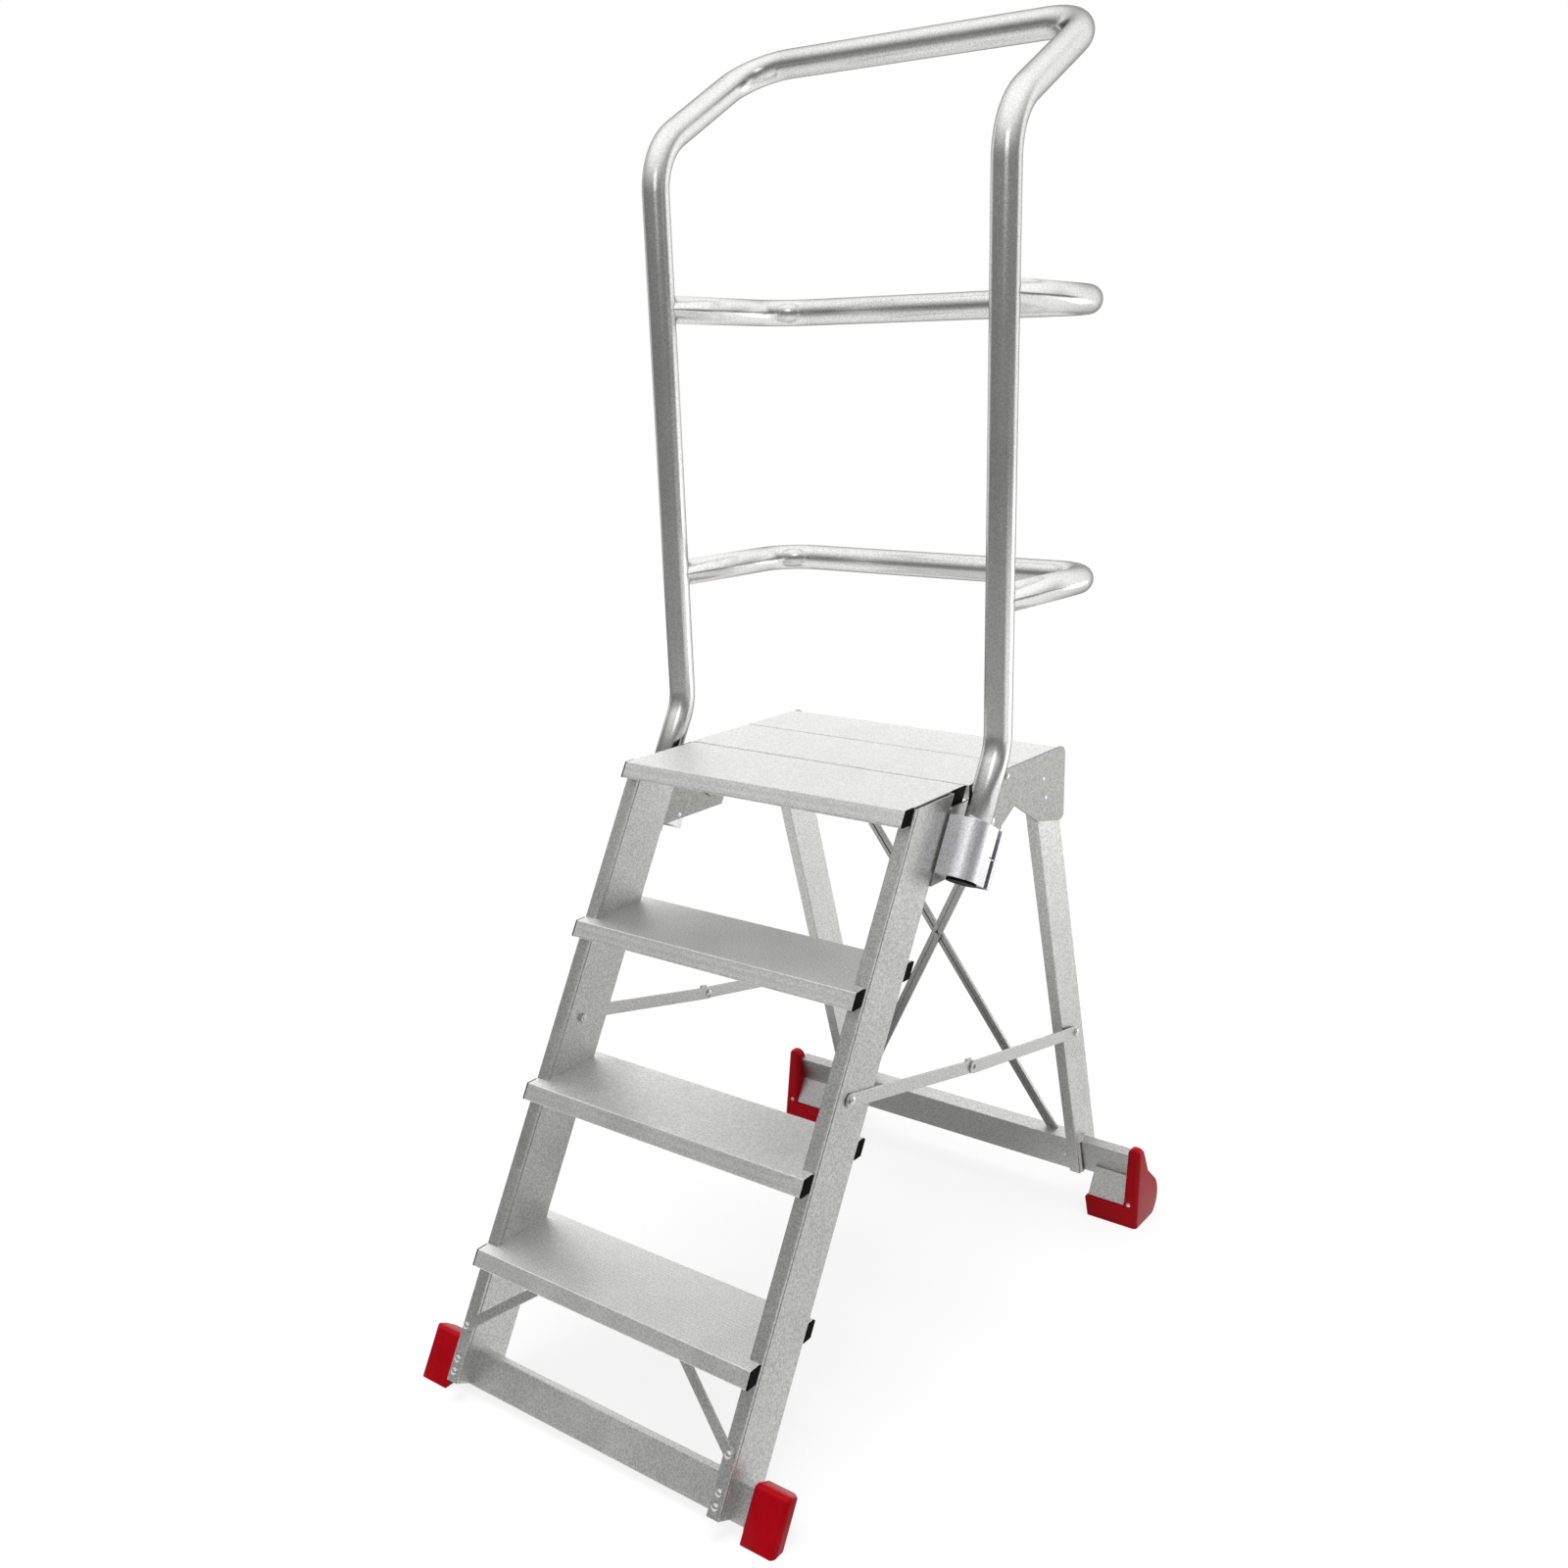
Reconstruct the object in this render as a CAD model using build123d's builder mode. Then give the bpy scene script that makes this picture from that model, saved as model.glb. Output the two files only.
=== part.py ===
from build123d import *

import math
import os

os.makedirs("parts", exist_ok=True)

# Folding warehouse ladder: three treads, a platform of three planks and a guardrail that lifts out.
# The climbing side faces -Y, X runs across the ladder and the floor is at Z 0.
# "Across" and "along" a stile or a leg mean square to its front face and along its length.

# Steps and platform
tread_count = 3
tread_rise = 240.0
tread_run = 136.0
first_tread_height = 232.0
nose_depth = 19.0
tread_rear_depth = 17.0
tread_drop = 24.5
tread_plate = 3.0
tread_wall = 2.0
tread_rib_height = 14.0
tread_rib_thickness = 2.5
tread_rib_count = 2
front_plank_depth = 170.0
middle_plank_depth = 155.0
rear_plank_depth = 135.0
plank_gap = 3.0
plank_beam = 20.0
edge_round = 1.8

# Black plugs in the open ends of the treads and of the front plank
cap_flange = 2.5
cap_insert = 10.0
cap_gap = 0.15
cap_margin = 0.5

# Front stiles, their crossbar and feet
frame_width = 568.0
stile_width = 23.0
stile_depth = 95.0
stile_wall = 2.5
stile_groove_width = 3.0
stile_groove_depth = 1.0
stile_groove_setback = 6.0
stile_toe_height = 38.0
stile_heel_height = 14.0
crossbar_setback = 34.0
crossbar_thickness = 23.0
crossbar_height = 57.0
crossbar_wall = 2.5
crossbar_top_height = 68.0
crossbar_overhang = 68.0
crossbar_bolt_drops = (17.0, 37.0)
front_foot_cover = 44.0
front_foot_end = 17.0
front_foot_front = 4.0
front_foot_rear = 6.0
front_foot_top = 9.0
front_foot_bevel = 5.0
front_foot_heel_bevel = 12.0

# Flat bars from the stiles to the lowest tread
brace_width = 16.0
brace_thickness = 3.0
brace_low_height = 117.0
brace_top_inset = 130.0

# Hinge plates on the stiles and the fold pivot
gusset_thickness = 3.5
gusset_step = 28.0
gusset_lobe = 44.0
gusset_reach = 278.0
gusset_height = 132.0
gusset_shelf = 21.5
gusset_flange = 20.0
gusset_edge = 1.0
pivot_radius = 6.0
pivot_head_radius = 10.0
pivot_head = 5.5
pivot_nut = 8.0
pivot_fit = 0.05
running_gap = 0.3
bolt_gap = 0.1

# Guardrail tube and the sleeves that hold it
tube_radius = 20.0
tube_wall = 2.0
tube_fit = 0.1
tube_standoff = 32.8
tube_setback = 140.0
upright_setback = 195.0
guard_shoulder = 944.0
guard_top = 1094.0
guard_top_setback = 453.0
guard_low_bend = 100.0
guard_high_bend = 110.0
guard_corner_bend = 80.0
rail_heights = {"lower_mid_rail": 285.0, "upper_mid_rail": 711.0}
rail_setback = 508.0
rail_bend = 70.0
weld_gap = 0.15
sleeve_low = -66.0
sleeve_length = 94.0
sleeve_front = 110.0
sleeve_rear = 190.0
sleeve_width = 56.5
sleeve_round = 34.0
sleeve_base = 8.5
channel_front = 165.0
channel_rear = 186.0
channel_roof = 6.0
channel_lip = 4.5
slit_height = 46.0
slit_width = 2.0
stop_radius = 24.0
stop_flange = 4.0
stop_insert = 6.0
sleeve_bolt_radius = 4.0
sleeve_bolt_head_radius = 7.0
sleeve_bolt_head = 6.0
sleeve_bolt_margin = 22.0

# Rear legs, side plates and X-brace
rear_lean = 15.2
leg_width = 22.5
leg_depth = 74.0
leg_wall = 2.2
leg_setback = 98.7
leg_foot_height = 60.0
plate_thickness = 3.0
plate_lobe = 40.0
plate_top_drop = 1.0
plate_rear_reach = 27.0
plate_corner = 17.0
plate_rear_drop = 127.0
plate_step = 14.0
plate_heel_drop = 133.0
plate_leg_drop = 116.0
arch_slope = 29.1
arch_peak_setback = 318.0
arch_round = 9.0
rear_bar_height = 78.0
rear_bar_thickness = 31.0
rear_bar_wall = 3.0
rear_bar_centre_height = 101.5
rear_bar_overhang = 6.0
stub_depth_clearance = 3.0
stub_insert = 61.0
stub_bolt_inset = 9.0
stub_wall = 3.0
brace_bar_width = 20.0
brace_bar_thickness = 6.0
brace_groove_width = 3.0
brace_groove_depth = 2.0
brace_bar_low_inset = 41.0
brace_bar_high_inset = 39.0
brace_bar_seat = 18.0
brace_bar_trim = 80.0

# Rear feet and the brackets that carry them
rear_foot_standoff = 29.3
rear_foot_end_slant = 8.5
rear_foot_wall = 25.0
rear_foot_side_slant = 6.5
rear_foot_height = 158.0
rear_foot_sole = 36.5
rear_foot_front = 54.0
rear_foot_front_lean = 16.0
rear_foot_top_depth = 16.5
rear_foot_dome = 11.5
rear_foot_shoulder_height = 102.0
rear_foot_shoulder_setback = 1.0
rear_foot_heel_radius = 45.0
rear_foot_heel_height = 40.0
rear_foot_heel_turn = 45.0
rear_foot_edge = 8.0
bracket_width = 74.0
bracket_inset = 5.0
bracket_wall = 3.0
bracket_bend = 4.0
bracket_top_height = 89.0
bracket_top_standoff = 4.0
bracket_setback = 2.0

# Folding spreaders on both sides
spreader_front_setback = 56.0
spreader_front_height = 552.0
spreader_middle_setback = 184.0
spreader_middle_height = 467.0
spreader_rear_inset = 33.0
spreader_rear_height = 388.0
spreader_width = 22.0
spreader_thickness = 3.0
spreader_washer = 0.8
spreader_gap = 0.4
spreader_bolt_radius = 4.0
spreader_head_radius = 7.0
spreader_head = 3.2
spreader_nut = 6.0
spreader_fit = 0.05
spreader_lug_length = 16.0
spreader_lug_height = 5.0

# Small fasteners
rivet_radius = 3.0
rivet_head_radius = 6.0
rivet_head = 2.0
plank_screw_drop = 12.0
plank_screw_inset = 38.0
screw_length = 18.0
screw_port_radius = 5.5
plate_rivet_drops = (45.0, 80.0)

# Places worked out from the sizes above
front_angle = math.atan2(tread_run, tread_rise)
sin_f = math.sin(front_angle)
cos_f = math.cos(front_angle)
sin_r = math.sin(math.radians(rear_lean))
cos_r = math.cos(math.radians(rear_lean))
platform_height = first_tread_height + tread_count * tread_rise
platform_depth = front_plank_depth + middle_plank_depth + rear_plank_depth + 2 * plank_gap
stile_outer = frame_width / 2
stile_inner = stile_outer - stile_width
stile_rear = nose_depth + stile_depth
tread_half = stile_outer - cap_margin - cap_flange

# The middle of the length is the origin: toes of the front stiles to heels of the rear legs
toe_y = (nose_depth - sin_f * (platform_height - stile_toe_height)) / cos_f
leg_line_y = platform_depth - leg_setback
heel_y = leg_line_y + (leg_depth + sin_r * (platform_height - leg_foot_height)) / cos_r
nose_y = -(toe_y + heel_y) / 2
leg_top_y = nose_y + leg_line_y

# Faces across X, from the stile outwards and from the hinge plate inwards
gusset_outer = stile_outer + gusset_thickness
plate_outer = stile_outer - running_gap
plate_inner = plate_outer - plate_thickness
leg_inner = plate_outer - leg_width
plank_half = plate_inner - running_gap - cap_flange
tube_x = gusset_outer + tube_standoff
sleeve_outside = gusset_outer + sleeve_width
crossbar_reach = stile_outer + crossbar_overhang
front_foot_inside = crossbar_reach - front_foot_cover
front_foot_outside = crossbar_reach + front_foot_end
rear_foot_inside = plate_outer + rear_foot_standoff
bracket_inside = rear_foot_inside + bracket_inset
stub_outside = bracket_inside + bracket_width

# Working planes: sections of the stiles and legs, and their side views
front = Plane((0, nose_y, platform_height), x_dir=(1, 0, 0), z_dir=(0, sin_f, cos_f))
front_side = Plane((0, nose_y, platform_height), x_dir=(0, cos_f, -sin_f), z_dir=(1, 0, 0))
front_face = Plane((0, nose_y, platform_height), x_dir=(1, 0, 0), z_dir=(0, -cos_f, sin_f))
rear = Plane((0, leg_top_y, platform_height), x_dir=(1, 0, 0), z_dir=(0, -sin_r, cos_r))
rear_side = Plane((0, leg_top_y, platform_height), x_dir=(0, cos_r, sin_r), z_dir=(1, 0, 0))
rear_face = Plane((0, leg_top_y, platform_height), x_dir=(1, 0, 0), z_dir=(0, -cos_r, -sin_r))
stile_axis = Axis((0, nose_y, platform_height), (0, sin_f, cos_f))


def stile_y(across, height):
    """Y of the place on a plane across the stiles at a height."""
    return nose_y + (across + sin_f * (height - platform_height)) / cos_f


def stile_along(across, height):
    """Distance along the stiles from the platform's nose to a height."""
    return (height - platform_height + sin_f * across) / cos_f


def stile_place(across, along):
    """Y and Z of a place given across and along the stiles."""
    y = nose_y + cos_f * across + sin_f * along
    return y, platform_height - sin_f * across + cos_f * along


def leg_y(across, height):
    """Y of the place on a plane across the legs at a height."""
    return leg_top_y + (across - sin_r * (height - platform_height)) / cos_r


def leg_along(across, height):
    """Distance along the legs from the platform to a height."""
    return (height - platform_height - sin_r * across) / cos_r


def leg_place(across, along):
    """Y and Z of a place given across and along the legs."""
    y = leg_top_y + cos_r * across - sin_r * along
    return y, platform_height + sin_r * across + cos_r * along


def rod(place, radius, start, end, mode=Mode.ADD):
    """A round bar along X through a (y, z) place."""
    with Locations(((start + end) / 2, place[0], place[1])):
        Cylinder(radius, abs(end - start), rotation=(0, 90, 0), mode=mode)


def block(low_x, high_x, side, low, high, mode=Mode.ADD):
    """A block along X whose section is a rectangle on a side plane."""
    with BuildSketch(side.offset(low_x)) as section:
        with Locations(((low[0] + high[0]) / 2, (low[1] + high[1]) / 2)):
            Rectangle(high[0] - low[0], high[1] - low[1])
    extrude(section.sketch, amount=high_x - low_x, mode=mode)


def box_bar(low_x, high_x, side, low, high, wall):
    """A box section along X with rounded outer corners, drawn on a side plane."""
    width = high[0] - low[0]
    height = high[1] - low[1]
    with BuildSketch(side.offset(low_x)) as section:
        with Locations(((low[0] + high[0]) / 2, (low[1] + high[1]) / 2)):
            RectangleRounded(width, height, edge_round)
            Rectangle(width - 2 * wall, height - 2 * wall, mode=Mode.SUBTRACT)
    extrude(section.sketch, amount=high_x - low_x)


def write_piece(piece, name):
    """Label a finished piece and write it."""
    piece.part.label = name
    export_step(piece.part, f"parts/{name}.step")


def write_pair(right, name):
    """Write a right-hand piece and its mirror image."""
    with BuildPart() as left:
        mirror(right.part, about=Plane.YZ)
    write_piece(right, f"{name}_right")
    write_piece(left, f"{name}_left")


def write_both(right, name):
    """Write a right-hand set of small pieces and its mirror image as one node."""
    with BuildPart() as both:
        add(right.part)
        mirror(right.part, about=Plane.YZ)
    write_piece(both, name)


# Places of the fold pivot and of the spreader joints
pivot_across = gusset_reach - gusset_lobe
pivot_z = platform_height - gusset_step - gusset_lobe
pivot = (stile_y(pivot_across, pivot_z), pivot_z)
spreader_front = (stile_y(spreader_front_setback, spreader_front_height), spreader_front_height)
spreader_middle = (nose_y + spreader_middle_setback, spreader_middle_height)
spreader_rear = (leg_y(spreader_rear_inset, spreader_rear_height), spreader_rear_height)
front_link_inner = stile_outer + spreader_washer + bolt_gap
front_link_outer = front_link_inner + spreader_thickness
rear_link_inner = front_link_outer + spreader_gap
rear_link_outer = rear_link_inner + spreader_thickness

# Crossbar section at the foot of the stiles
bar_front = nose_depth + crossbar_setback
bar_rear = bar_front + crossbar_thickness
bar_top = stile_along(bar_front, crossbar_top_height)
bar_low = bar_top - crossbar_height
stile_end = stile_along(nose_depth, stile_toe_height)
stile_mid_x = stile_inner + stile_width / 2
crossbar_bolt_places = [bar_top - drop for drop in crossbar_bolt_drops]
brace_low_along = stile_along(nose_depth, brace_low_height)

# Front stile: a box section with a fine groove beside each front edge, notched over the crossbar
with BuildPart() as stile:
    with BuildSketch(front.offset(stile_end)):
        with Locations((stile_mid_x, nose_depth + stile_depth / 2)):
            RectangleRounded(stile_width, stile_depth, edge_round)
            Rectangle(stile_width - 2 * stile_wall, stile_depth - 2 * stile_wall, mode=Mode.SUBTRACT)
        groove_across = nose_depth + stile_groove_setback
        with Locations((stile_inner, groove_across), (stile_outer, groove_across)):
            Rectangle(2 * stile_groove_depth, stile_groove_width, mode=Mode.SUBTRACT)
    extrude(amount=stile_along(stile_rear, platform_height) - stile_end)
    split(bisect_by=Plane.XY.offset(platform_height - tread_plate), keep=Keep.BOTTOM)
    split(bisect_by=Plane.XY.offset(stile_heel_height), keep=Keep.TOP)
    notch_low = (bar_front, stile_end - crossbar_height)
    block(stile_inner, stile_outer, front_side, notch_low, (bar_rear, bar_top), mode=Mode.SUBTRACT)
    rod(spreader_front, spreader_bolt_radius + bolt_gap, stile_inner, stile_outer, mode=Mode.SUBTRACT)
    with BuildSketch(front_face.offset(-nose_depth)) as front_holes:
        with Locations(*((stile_mid_x, along) for along in (*crossbar_bolt_places, brace_low_along))):
            Circle(rivet_radius + bolt_gap)
    extrude(front_holes.sketch, amount=-stile_wall, mode=Mode.SUBTRACT)
write_pair(stile, "front_stile")


def beam_outline(start, width, drop):
    """Corners of a hollow edge beam whose front and rear faces run parallel to the stiles."""
    lean = drop * sin_f / cos_f
    return [(start, 0), (start + width, 0), (start + width - lean, -drop), (start - lean, -drop)]


def edge_beam(plane, start, width, length, joint):
    """A hollow beam along X, open at both ends, rounded except where the plate joins its top."""
    with BuildSketch(plane) as beam:
        with BuildLine():
            Polyline(*beam_outline(start, width, tread_drop), close=True)
        make_face()
        offset(amount=-tread_wall, kind=Kind.INTERSECTION, mode=Mode.SUBTRACT)
        corners = beam.faces()[0].outer_wire().vertices().sort_by_distance((joint, 0))
        fillet(corners[1:], edge_round)
    extrude(beam.sketch, amount=length)


def step_board(nose, rear_start, rear_width, beam_half, plate_half):
    """A tread or plank: hollow nose and rear beams joined by a ribbed plate."""
    beam_plane = Plane((-beam_half, nose[0], nose[1]), x_dir=(0, 1, 0), z_dir=(1, 0, 0))
    plate_plane = Plane((-plate_half, nose[0], nose[1]), x_dir=(0, 1, 0), z_dir=(1, 0, 0))
    rib_plane = Plane((-stile_inner, nose[0], nose[1]), x_dir=(0, 1, 0), z_dir=(1, 0, 0))
    nose_width = nose_depth / cos_f
    with BuildPart() as board:
        edge_beam(beam_plane, 0, nose_width, 2 * beam_half, nose_width)
        edge_beam(beam_plane, rear_start, rear_width, 2 * beam_half, rear_start)
        with BuildSketch(plate_plane) as plate:
            plate_from = nose_width - tread_plate * sin_f / cos_f - tread_wall / 2
            plate_to = rear_start
            with Locations(((plate_from + plate_to) / 2, -tread_plate / 2)):
                Rectangle(plate_to - plate_from, tread_plate)
        extrude(plate.sketch, amount=2 * plate_half)
        with BuildSketch(rib_plane) as ribs:
            rib_pitch = (rear_start - nose_width) / (tread_rib_count + 1)
            rib_place = (rear_start + nose_width) / 2
            with Locations((rib_place, -(tread_plate + tread_rib_height) / 2)):
                with GridLocations(rib_pitch, 0, tread_rib_count, 1):
                    Rectangle(tread_rib_thickness, tread_rib_height + tread_plate)
        extrude(ribs.sketch, amount=2 * stile_inner)
    return board


# Treads: the nose lies before the stiles, the rear beam behind them, the plate between them
tread_noses = []
for number in range(1, tread_count + 1):
    steps_down = tread_count + 1 - number
    nose_place = (nose_y - steps_down * tread_run, platform_height - steps_down * tread_rise)
    tread_noses.append(nose_place)
    tread_rear_start = stile_rear / cos_f
    tread = step_board(nose_place, tread_rear_start, tread_rear_depth / cos_f, tread_half, stile_inner)
    write_piece(tread, f"tread_{number}")

# Front plank of the platform: its plate lies on the stiles' upper ends, its rear beam behind them
plank_nose = (nose_y, platform_height)
front_plank_rear_start = stile_rear / cos_f
front_plank_beam = front_plank_depth - front_plank_rear_start
front_plank = step_board(plank_nose, front_plank_rear_start, front_plank_beam, plank_half, plank_half)
write_piece(front_plank, "front_plank")


def end_caps(places, start, width):
    """Flanged plugs in the right-hand ends of beams, given as places and half lengths."""
    with BuildPart() as caps:
        for place, beam_half in places:
            plane = Plane((beam_half, place[0], place[1]), x_dir=(0, 1, 0), z_dir=(1, 0, 0))
            with BuildSketch(plane) as flange:
                with BuildLine():
                    Polyline(*beam_outline(start, width, tread_drop), close=True)
                make_face()
                fillet(flange.vertices(), edge_round)
            extrude(flange.sketch, amount=cap_flange)
            with BuildSketch(plane) as insert:
                with BuildLine():
                    Polyline(*beam_outline(start, width, tread_drop), close=True)
                make_face()
                offset(amount=-tread_wall - cap_gap, kind=Kind.INTERSECTION, mode=Mode.REPLACE)
            extrude(insert.sketch, amount=-cap_insert)
    return caps


tread_ends = [(place, tread_half) for place in tread_noses]
plank_ends = [(plank_nose, plank_half)]
write_both(end_caps(tread_ends + plank_ends, 0, nose_depth / cos_f), "nose_caps")
write_both(end_caps(tread_ends, stile_rear / cos_f, tread_rear_depth / cos_f), "tread_rear_caps")
write_both(end_caps(plank_ends, front_plank_rear_start, front_plank_beam), "plank_caps")

# Sleeve bolts sit in the sleeve's channel, near its two ends
sleeve_high = sleeve_low + sleeve_length
sleeve_bolt_across = (channel_front + channel_rear) / 2
sleeve_bolt_alongs = (sleeve_low + sleeve_bolt_margin, sleeve_high - sleeve_bolt_margin)
sleeve_bolt_places = [stile_place(sleeve_bolt_across, along) for along in sleeve_bolt_alongs]
channel_floor = gusset_outer + sleeve_base

# Hinge plate behind the stile: flat, with a round lobe about the pivot and a flange on the stile's rear face
with BuildPart() as gusset:
    with BuildSketch(Plane.YZ.offset(stile_outer)):
        shelf_z = platform_height - gusset_shelf
        step_z = platform_height - gusset_step
        low_z = platform_height - gusset_height
        shelf_end_y = nose_y + front_plank_depth
        shelf_lean = (gusset_step - gusset_shelf) * sin_f / cos_f
        with BuildLine():
            Polyline(
                (stile_y(stile_rear, shelf_z), shelf_z),
                (shelf_end_y, shelf_z),
                (shelf_end_y - shelf_lean, step_z),
                (stile_y(gusset_reach, step_z), step_z),
                (stile_y(gusset_reach, low_z), low_z),
                (stile_y(stile_rear, low_z), low_z),
                close=True,
            )
        gusset_outline = make_face()
        lobe_corner = gusset_outline.vertices().sort_by(Axis.X)[-1]
        fillet(lobe_corner, gusset_lobe)
    extrude(amount=gusset_thickness)
    flange_top_z = platform_height - tread_drop - gusset_edge
    flange_low = (stile_rear, stile_along(stile_rear, low_z))
    flange_high = (stile_rear + gusset_thickness, stile_along(stile_rear, flange_top_z))
    block(stile_outer - gusset_flange, stile_outer, front_side, flange_low, flange_high)
    rod(pivot, pivot_radius + pivot_fit, stile_outer, gusset_outer, mode=Mode.SUBTRACT)
    for place in sleeve_bolt_places:
        rod(place, sleeve_bolt_radius + bolt_gap, stile_outer, gusset_outer, mode=Mode.SUBTRACT)
write_pair(gusset, "gusset")

# Guardrail sleeve: a rounded block bored for the tube, with a bolt channel open to the outside
with BuildPart() as sleeve:
    with BuildSketch(front.offset(sleeve_low)) as sleeve_section:
        with Locations(((gusset_outer + sleeve_outside) / 2, (sleeve_front + sleeve_rear) / 2)):
            Rectangle(sleeve_outside - gusset_outer, sleeve_rear - sleeve_front)
        front_corner = sleeve_section.vertices().group_by(Axis.X)[-1].sort_by(Axis.Y)[0]
        fillet(front_corner, sleeve_round)
        with Locations((tube_x, tube_setback)):
            Circle(tube_radius + tube_fit, mode=Mode.SUBTRACT)
        channel_depth = sleeve_outside - channel_roof - channel_floor
        with Locations((channel_floor + channel_depth / 2, sleeve_bolt_across)):
            Rectangle(channel_depth, channel_rear - channel_front, mode=Mode.SUBTRACT)
        with Locations((sleeve_outside - channel_roof / 2, sleeve_bolt_across)):
            Rectangle(channel_roof, channel_rear - channel_front - 2 * channel_lip, mode=Mode.SUBTRACT)
    extrude(amount=sleeve_length)
    slit_low = (channel_front - channel_lip / 2, sleeve_low + slit_height)
    slit_high = (sleeve_rear, sleeve_low + slit_height + slit_width)
    block(channel_floor, sleeve_outside, front_side, slit_low, slit_high, mode=Mode.SUBTRACT)
    for place in sleeve_bolt_places:
        rod(place, sleeve_bolt_radius + bolt_gap, gusset_outer, channel_floor, mode=Mode.SUBTRACT)
write_pair(sleeve, "guardrail_sleeve")

with BuildPart() as sleeve_bolts:
    for place in sleeve_bolt_places:
        rod(place, sleeve_bolt_radius, stile_outer, channel_floor)
        rod(place, sleeve_bolt_head_radius, channel_floor, channel_floor + sleeve_bolt_head)
write_both(sleeve_bolts, "sleeve_bolts")

# Black plug under each sleeve: the guardrail tube stands on it
with BuildPart() as stop:
    with BuildSketch(front.offset(sleeve_low - stop_flange)) as stop_disc:
        with Locations((tube_x, tube_setback)):
            Circle(stop_radius)
    extrude(stop_disc.sketch, amount=stop_flange)
    with BuildSketch(front.offset(sleeve_low)) as stop_plug:
        with Locations((tube_x, tube_setback)):
            Circle(tube_radius - tube_fit)
    extrude(stop_plug.sketch, amount=stop_insert)
write_both(stop, "sleeve_stops")

# Front crossbar: a box section through the stile notches, with the feet on its ends
with BuildPart() as front_crossbar:
    bar_corners = (bar_front, bar_low), (bar_rear, bar_top)
    box_bar(-crossbar_reach, crossbar_reach, front_side, *bar_corners, crossbar_wall)
    with BuildSketch(front_face.offset(-bar_front)) as bar_holes:
        with Locations(*((side * stile_mid_x, a) for side in (1, -1) for a in crossbar_bolt_places)):
            Circle(rivet_radius + bolt_gap)
    extrude(bar_holes.sketch, amount=-crossbar_wall, mode=Mode.SUBTRACT)
write_piece(front_crossbar, "front_crossbar")

with BuildPart() as crossbar_bolts:
    for along in crossbar_bolt_places:
        with BuildSketch(front_face.offset(-nose_depth)) as bolt_head:
            with Locations((stile_mid_x, along)):
                Circle(rivet_head_radius)
        extrude(bolt_head.sketch, amount=rivet_head)
        with BuildSketch(front_face.offset(-nose_depth)) as bolt_shank:
            with Locations((stile_mid_x, along)):
                Circle(rivet_radius)
        extrude(bolt_shank.sketch, amount=-crossbar_setback - crossbar_wall)
write_both(crossbar_bolts, "crossbar_bolts")

# Front foot: a bevelled block over the crossbar's end, flat on the floor
with BuildPart() as front_foot:
    foot_front = bar_front - front_foot_front
    foot_low = (foot_front, stile_along(foot_front, 0))
    foot_high = (bar_rear + front_foot_rear, bar_top + front_foot_top)
    block(front_foot_inside, front_foot_outside, front_side, foot_low, foot_high)
    foot_uprights = front_foot.edges().filter_by(stile_axis).group_by(Axis.X)[-1]
    chamfer(foot_uprights.sort_by(Axis.Y)[-1], front_foot_heel_bevel)
    foot_uprights = front_foot.edges().filter_by(stile_axis)
    foot_tops = front_foot.edges().filter_by(Axis.X).group_by(stile_axis)[-1]
    front_upright = foot_uprights.group_by(Axis.Y)[0].sort_by(Axis.X)[-1]
    front_top = foot_tops.sort_by(Axis.Y)[0]
    chamfer([front_upright, front_top], front_foot_bevel)
    split(bisect_by=Plane.XY, keep=Keep.TOP)
    pocket = (bar_front, bar_low), (bar_rear, bar_top)
    block(front_foot_inside, crossbar_reach, front_side, *pocket, mode=Mode.SUBTRACT)
write_pair(front_foot, "front_foot")

# Flat braces from the stiles' front faces up to the underside of the lowest tread's nose
tread_low_z = first_tread_height - tread_drop
brace_top_along = stile_along(nose_depth, tread_low_z)
brace_low = (stile_mid_x, brace_low_along)
brace_top = (stile_mid_x - brace_top_inset, brace_top_along)
brace_run = (brace_top[0] - brace_low[0], brace_top[1] - brace_low[1])
brace_angle = math.degrees(math.atan2(brace_run[1], brace_run[0]))
brace_length = math.hypot(*brace_run) + brace_width
with BuildPart() as tread_brace:
    with BuildSketch(front_face.offset(-nose_depth)):
        with Locations(brace_low):
            with Locations(Rotation(0, 0, brace_angle)):
                with Locations((brace_length / 2, 0)):
                    SlotCenterToCenter(brace_length, brace_width)
        with Locations(brace_low):
            Circle(rivet_radius + bolt_gap, mode=Mode.SUBTRACT)
    extrude(amount=brace_thickness)
    split(bisect_by=Plane.XY.offset(tread_low_z), keep=Keep.BOTTOM)
write_pair(tread_brace, "tread_brace")

with BuildPart() as brace_rivets:
    with BuildSketch(front_face.offset(brace_thickness - nose_depth)) as rivet_top:
        with Locations(brace_low):
            Circle(rivet_head_radius)
    extrude(rivet_top.sketch, amount=rivet_head)
    with BuildSketch(front_face.offset(brace_thickness - nose_depth)) as rivet_shank:
        with Locations(brace_low):
            Circle(rivet_radius)
    extrude(rivet_shank.sketch, amount=-brace_thickness - stile_wall)
write_both(brace_rivets, "brace_rivets")

# Fold pivot: a hex bolt through hinge plate and side plate, with its nut inside
nut_outer = plate_inner - running_gap
nut_inner = nut_outer - pivot_nut
with BuildPart() as pivot_bolt:
    rod(pivot, pivot_radius, nut_inner, gusset_outer)
    with BuildSketch(Plane.YZ.offset(gusset_outer)) as pivot_hex:
        with Locations(pivot):
            RegularPolygon(pivot_head_radius, 6)
    extrude(pivot_hex.sketch, amount=pivot_head)
write_both(pivot_bolt, "pivot_bolts")

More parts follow.
